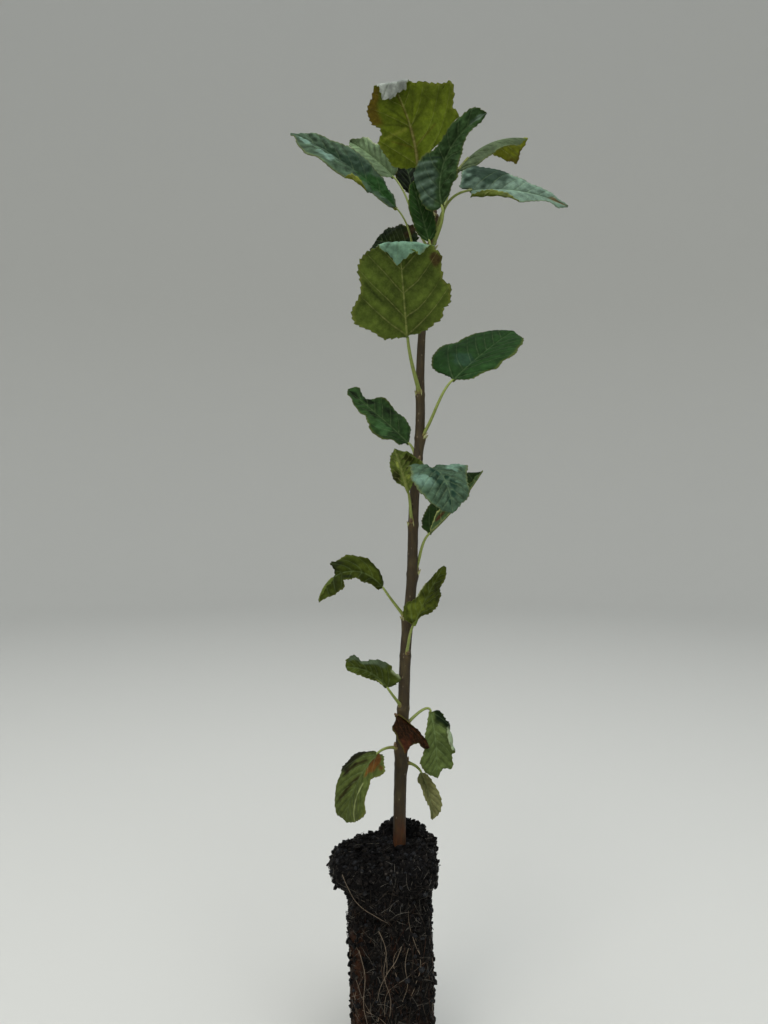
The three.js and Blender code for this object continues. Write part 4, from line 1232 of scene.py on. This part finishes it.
# kinds of strand: how many, how long, how thick and how straight up they run, where they grow, their colour
strandKinds = {
    "roots_pale": {"count": 34, "length": (20, 75), "radius": (0.15, 0.3), "slant": 0.4, "bend": 1.7,
                   "zone": (4, 118), "bearings": (0, 360), "lift": 1.3, "step": 3.2, "color": "#7d7060"},
    "roots_brown": {"count": 620, "length": (8, 34), "radius": (0.13, 0.24), "slant": 0.8, "bend": 1.0,
                    "zone": (2, 140), "bearings": (0, 360), "lift": 0.9, "step": 2.6, "color": "#3b332b"},
    "roots_rust": {"count": 170, "length": (12, 40), "radius": (0.14, 0.26), "slant": 0.35, "bend": 0.7,
                   "zone": (2, 104), "bearings": (140, 400), "lift": 0.9, "step": 2.8, "color": "#331e12"},
    "fibres_dark": {"count": 620, "length": (3, 9), "radius": (0.14, 0.3), "slant": 3.0, "bend": 2.5,
                    "zone": (90, 150), "bearings": (0, 360), "lift": 2.4, "step": 1.6, "color": "#1a1816"},
    "fibres_pale": {"count": 460, "length": (4, 16), "radius": (0.09, 0.16), "slant": 3.0, "bend": 2.0,
                    "zone": (30, 154), "bearings": (0, 360), "lift": 1.6, "step": 2.0, "color": "#66625a"},
}
strandRange = {"low": 1.0, "high": 156, "ballRadius": 32}    # mm: the heights a strand keeps to

# the long roots that show most at the front: places across and up, mm
longRoots = (
    ((-35, 144), (-30, 134), (-26, 127), (-20, 123), (-11, 119), (-5, 114)),
    ((4, 99), (0, 89), (-7, 79), (-11, 69), (-12, 62)),
    ((-11, 109), (-6, 96), (-8, 81), (-3, 63), (-4, 52)),
    ((9, 100), (6, 86), (8, 73), (4, 62)),
    ((-24, 96), (-20, 80), (-21, 60), (-17, 40), (-18, 24)),
)
longRoot = {"step": 2, "lift": 1.6, "radius": 0.22, "taper": 0.1}    # mm


def evenOut(strand, rounds):
    # evens the steps where the skin jumps
    for _ in range(rounds):
        for k in range(1, len(strand) - 1):
            middle = (strand[k - 1][0] + strand[k][0] * 2 + strand[k + 1][0]) / 4
            strand[k] = (middle, strand[k][1])
    return strand


def growStrand(kind, dice):
    # walks over the ball's skin: bearing and height drift, and the strand lifts off it here and there
    bearing = math.radians(dice.uniform(*kind["bearings"]))
    z = dice.uniform(*kind["zone"])
    heading = dice.gauss(0, kind["slant"]) + (math.pi if dice.random() < 0.5 else 0)
    length = dice.uniform(*kind["length"])
    radius = dice.uniform(*kind["radius"])
    high = dice.uniform(0.2, 1) * kind["lift"]
    count = max(4, round(length / kind["step"]))
    strand = []
    for k in range(count):
        place, normal = onSide(bearing, z)
        if place is None or not strandRange["low"] < z < strandRange["high"]:
            break
        share = k / (count - 1)
        away = 0.1 + high * abs(math.sin(math.pi * share * 1.5 + high * 9))
        strand.append((place + normal * away, radius * (1 - 0.6 * share)))
        heading += dice.gauss(0, 0.12) * kind["bend"]
        z += kind["step"] * math.cos(heading)
        bearing += kind["step"] * math.sin(heading) / strandRange["ballRadius"]
    return evenOut(strand, 2)


def layRoot(corners):
    # a long root on the front of the ball
    corners = np.array(corners, dtype=float)
    run = runAlong(corners)
    strand = []
    for at in np.arange(0, run[-1], longRoot["step"]):
        x, z = [smoothLine(list(zip(run, corners[:, k])), np.array([at]))[0] for k in (0, 1)]
        place, normal = hitBall((x, -ballPlace["clear"], z), (0, 1, 0))
        if place is not None:
            radius = longRoot["radius"] - longRoot["taper"] * at / run[-1]
            strand.append((place + Vector((0, -longRoot["lift"], 0)), radius))
    return evenOut(strand, 3)


def addStrands(name, kind, seed):
    # one curve object holds all strands of a kind; its bevel is four-sided, as each is a hair's width
    dice = random.Random(seed)
    deselectAll()
    bpy.ops.curve.primitive_nurbs_path_add()
    piece = bpy.context.object
    piece.name = name
    piece.data.splines.clear()
    piece.data.bevel_depth = mm
    piece.data.bevel_resolution = 0
    laid = [layRoot(corners) for corners in longRoots] if name == "roots_pale" else []
    for strand in laid + [growStrand(kind, dice) for _ in range(kind["count"])]:
        if len(strand) < 3:
            continue
        spline = piece.data.splines.new("POLY")
        spline.points.add(len(strand) - 1)
        for point, (place, radius) in zip(spline.points, strand):
            point.co = (*(place * mm), 1)
            point.radius = radius
    bpy.ops.object.convert(target="MESH")
    piece = bpy.context.object
    bpy.ops.object.transform_apply(location=True, rotation=True, scale=True)
    piece.data.name = name
    smoothShading(piece)
    return piece


# Root. Real one: thin woody root, dull, its skin a little uneven in colour along it
def rootMaterial(name, hexColor):
    material = newMaterial(name)
    place = addNode(material, "TexCoord").outputs["Object"]
    colored = mottled(material, place, hexColor, 1 / (3 * mm), 3.0, 0.5, 0.55, 1.3)[1]
    return finished(material, {"IOR": 1.45, "Roughness": 0.7, "Specular IOR Level": 0.2},
                    {"Base Color": colored})


for seed, (name, kind) in enumerate(strandKinds.items()):
    strands = addStrands(name, kind, seed)
    strands.data.materials.append(rootMaterial(name + "_skin", kind["color"]))
    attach(strands, "root")
    print(name, "made:", len(strands.data.polygons), "faces")


# Floor and light: a pale cove and a wide soft lamp above it, as on an overcast day
studio = {"coveHex": "#c9c9c4", "floorRadius": 2.6, "bendRadius": 1.6, "wallTop": 4.5,    # m
          "floorRows": 0.3, "bendRows": 0.4,    # share of the cove's rows that the floor and the bend get
          "skyHex": "#e6eaee", "skyStrength": 0.95}
cove = addGrid("cove", 96, 40)
flat = readPoints(cove)
angle, share = (flat[:, 0] + 1) * math.pi, (flat[:, 1] + 1) / 2
floorPart = np.clip(share / studio["floorRows"], 0, 1)
swing = np.clip((share - studio["floorRows"]) / studio["bendRows"], 0, 1) * math.pi / 2
wallRows = studio["floorRows"] + studio["bendRows"]
wallPart = np.clip((share - wallRows) / (1 - wallRows), 0, 1)
radius = floorPart * studio["floorRadius"] + studio["bendRadius"] * np.sin(swing)
height = studio["bendRadius"] * (1 - np.cos(swing)) + wallPart * (studio["wallTop"] - studio["bendRadius"])
writePoints(cove, np.stack([radius * np.cos(angle), radius * np.sin(angle), height], axis=1))
mergeDoubles(cove)
smoothShading(cove)
coveMaterial = newMaterial("mattPaint")    # matt painted board: no shine
finished(coveMaterial, {"Base Color": linear(studio["coveHex"]), "Roughness": 0.95}, {})
cove.data.materials.append(coveMaterial)

world = bpy.data.worlds.new("softSky")
world.use_nodes = True
sky = world.node_tree.nodes["Background"]
sky.inputs["Color"].default_value = linear(studio["skyHex"])
sky.inputs["Strength"].default_value = studio["skyStrength"]
bpy.context.scene.world = world

lamps = {
    "overhead": {"place": (0.1, -0.6, 2.2), "aim": (0, 0, 0.35), "size": 1.5, "power": 38, "hex": "#f4f6f8"},
    "front": {"place": (-1.2, -1.9, 1.3), "aim": (0, 0, 0.35), "size": 1.2, "power": 15, "hex": "#fff8ee"},
}
for name, lamp in lamps.items():
    data = bpy.data.lights.new(name, "AREA")
    data.size = lamp["size"]
    data.energy = lamp["power"]
    data.color = linear(lamp["hex"])[:3]
    light = bpy.data.objects.new(name, data)
    light.location = lamp["place"]
    light.rotation_euler = (Vector(lamp["aim"]) - Vector(lamp["place"])).to_track_quat("-Z", "Y").to_euler()
    bpy.context.collection.objects.link(light)
print("studio made")
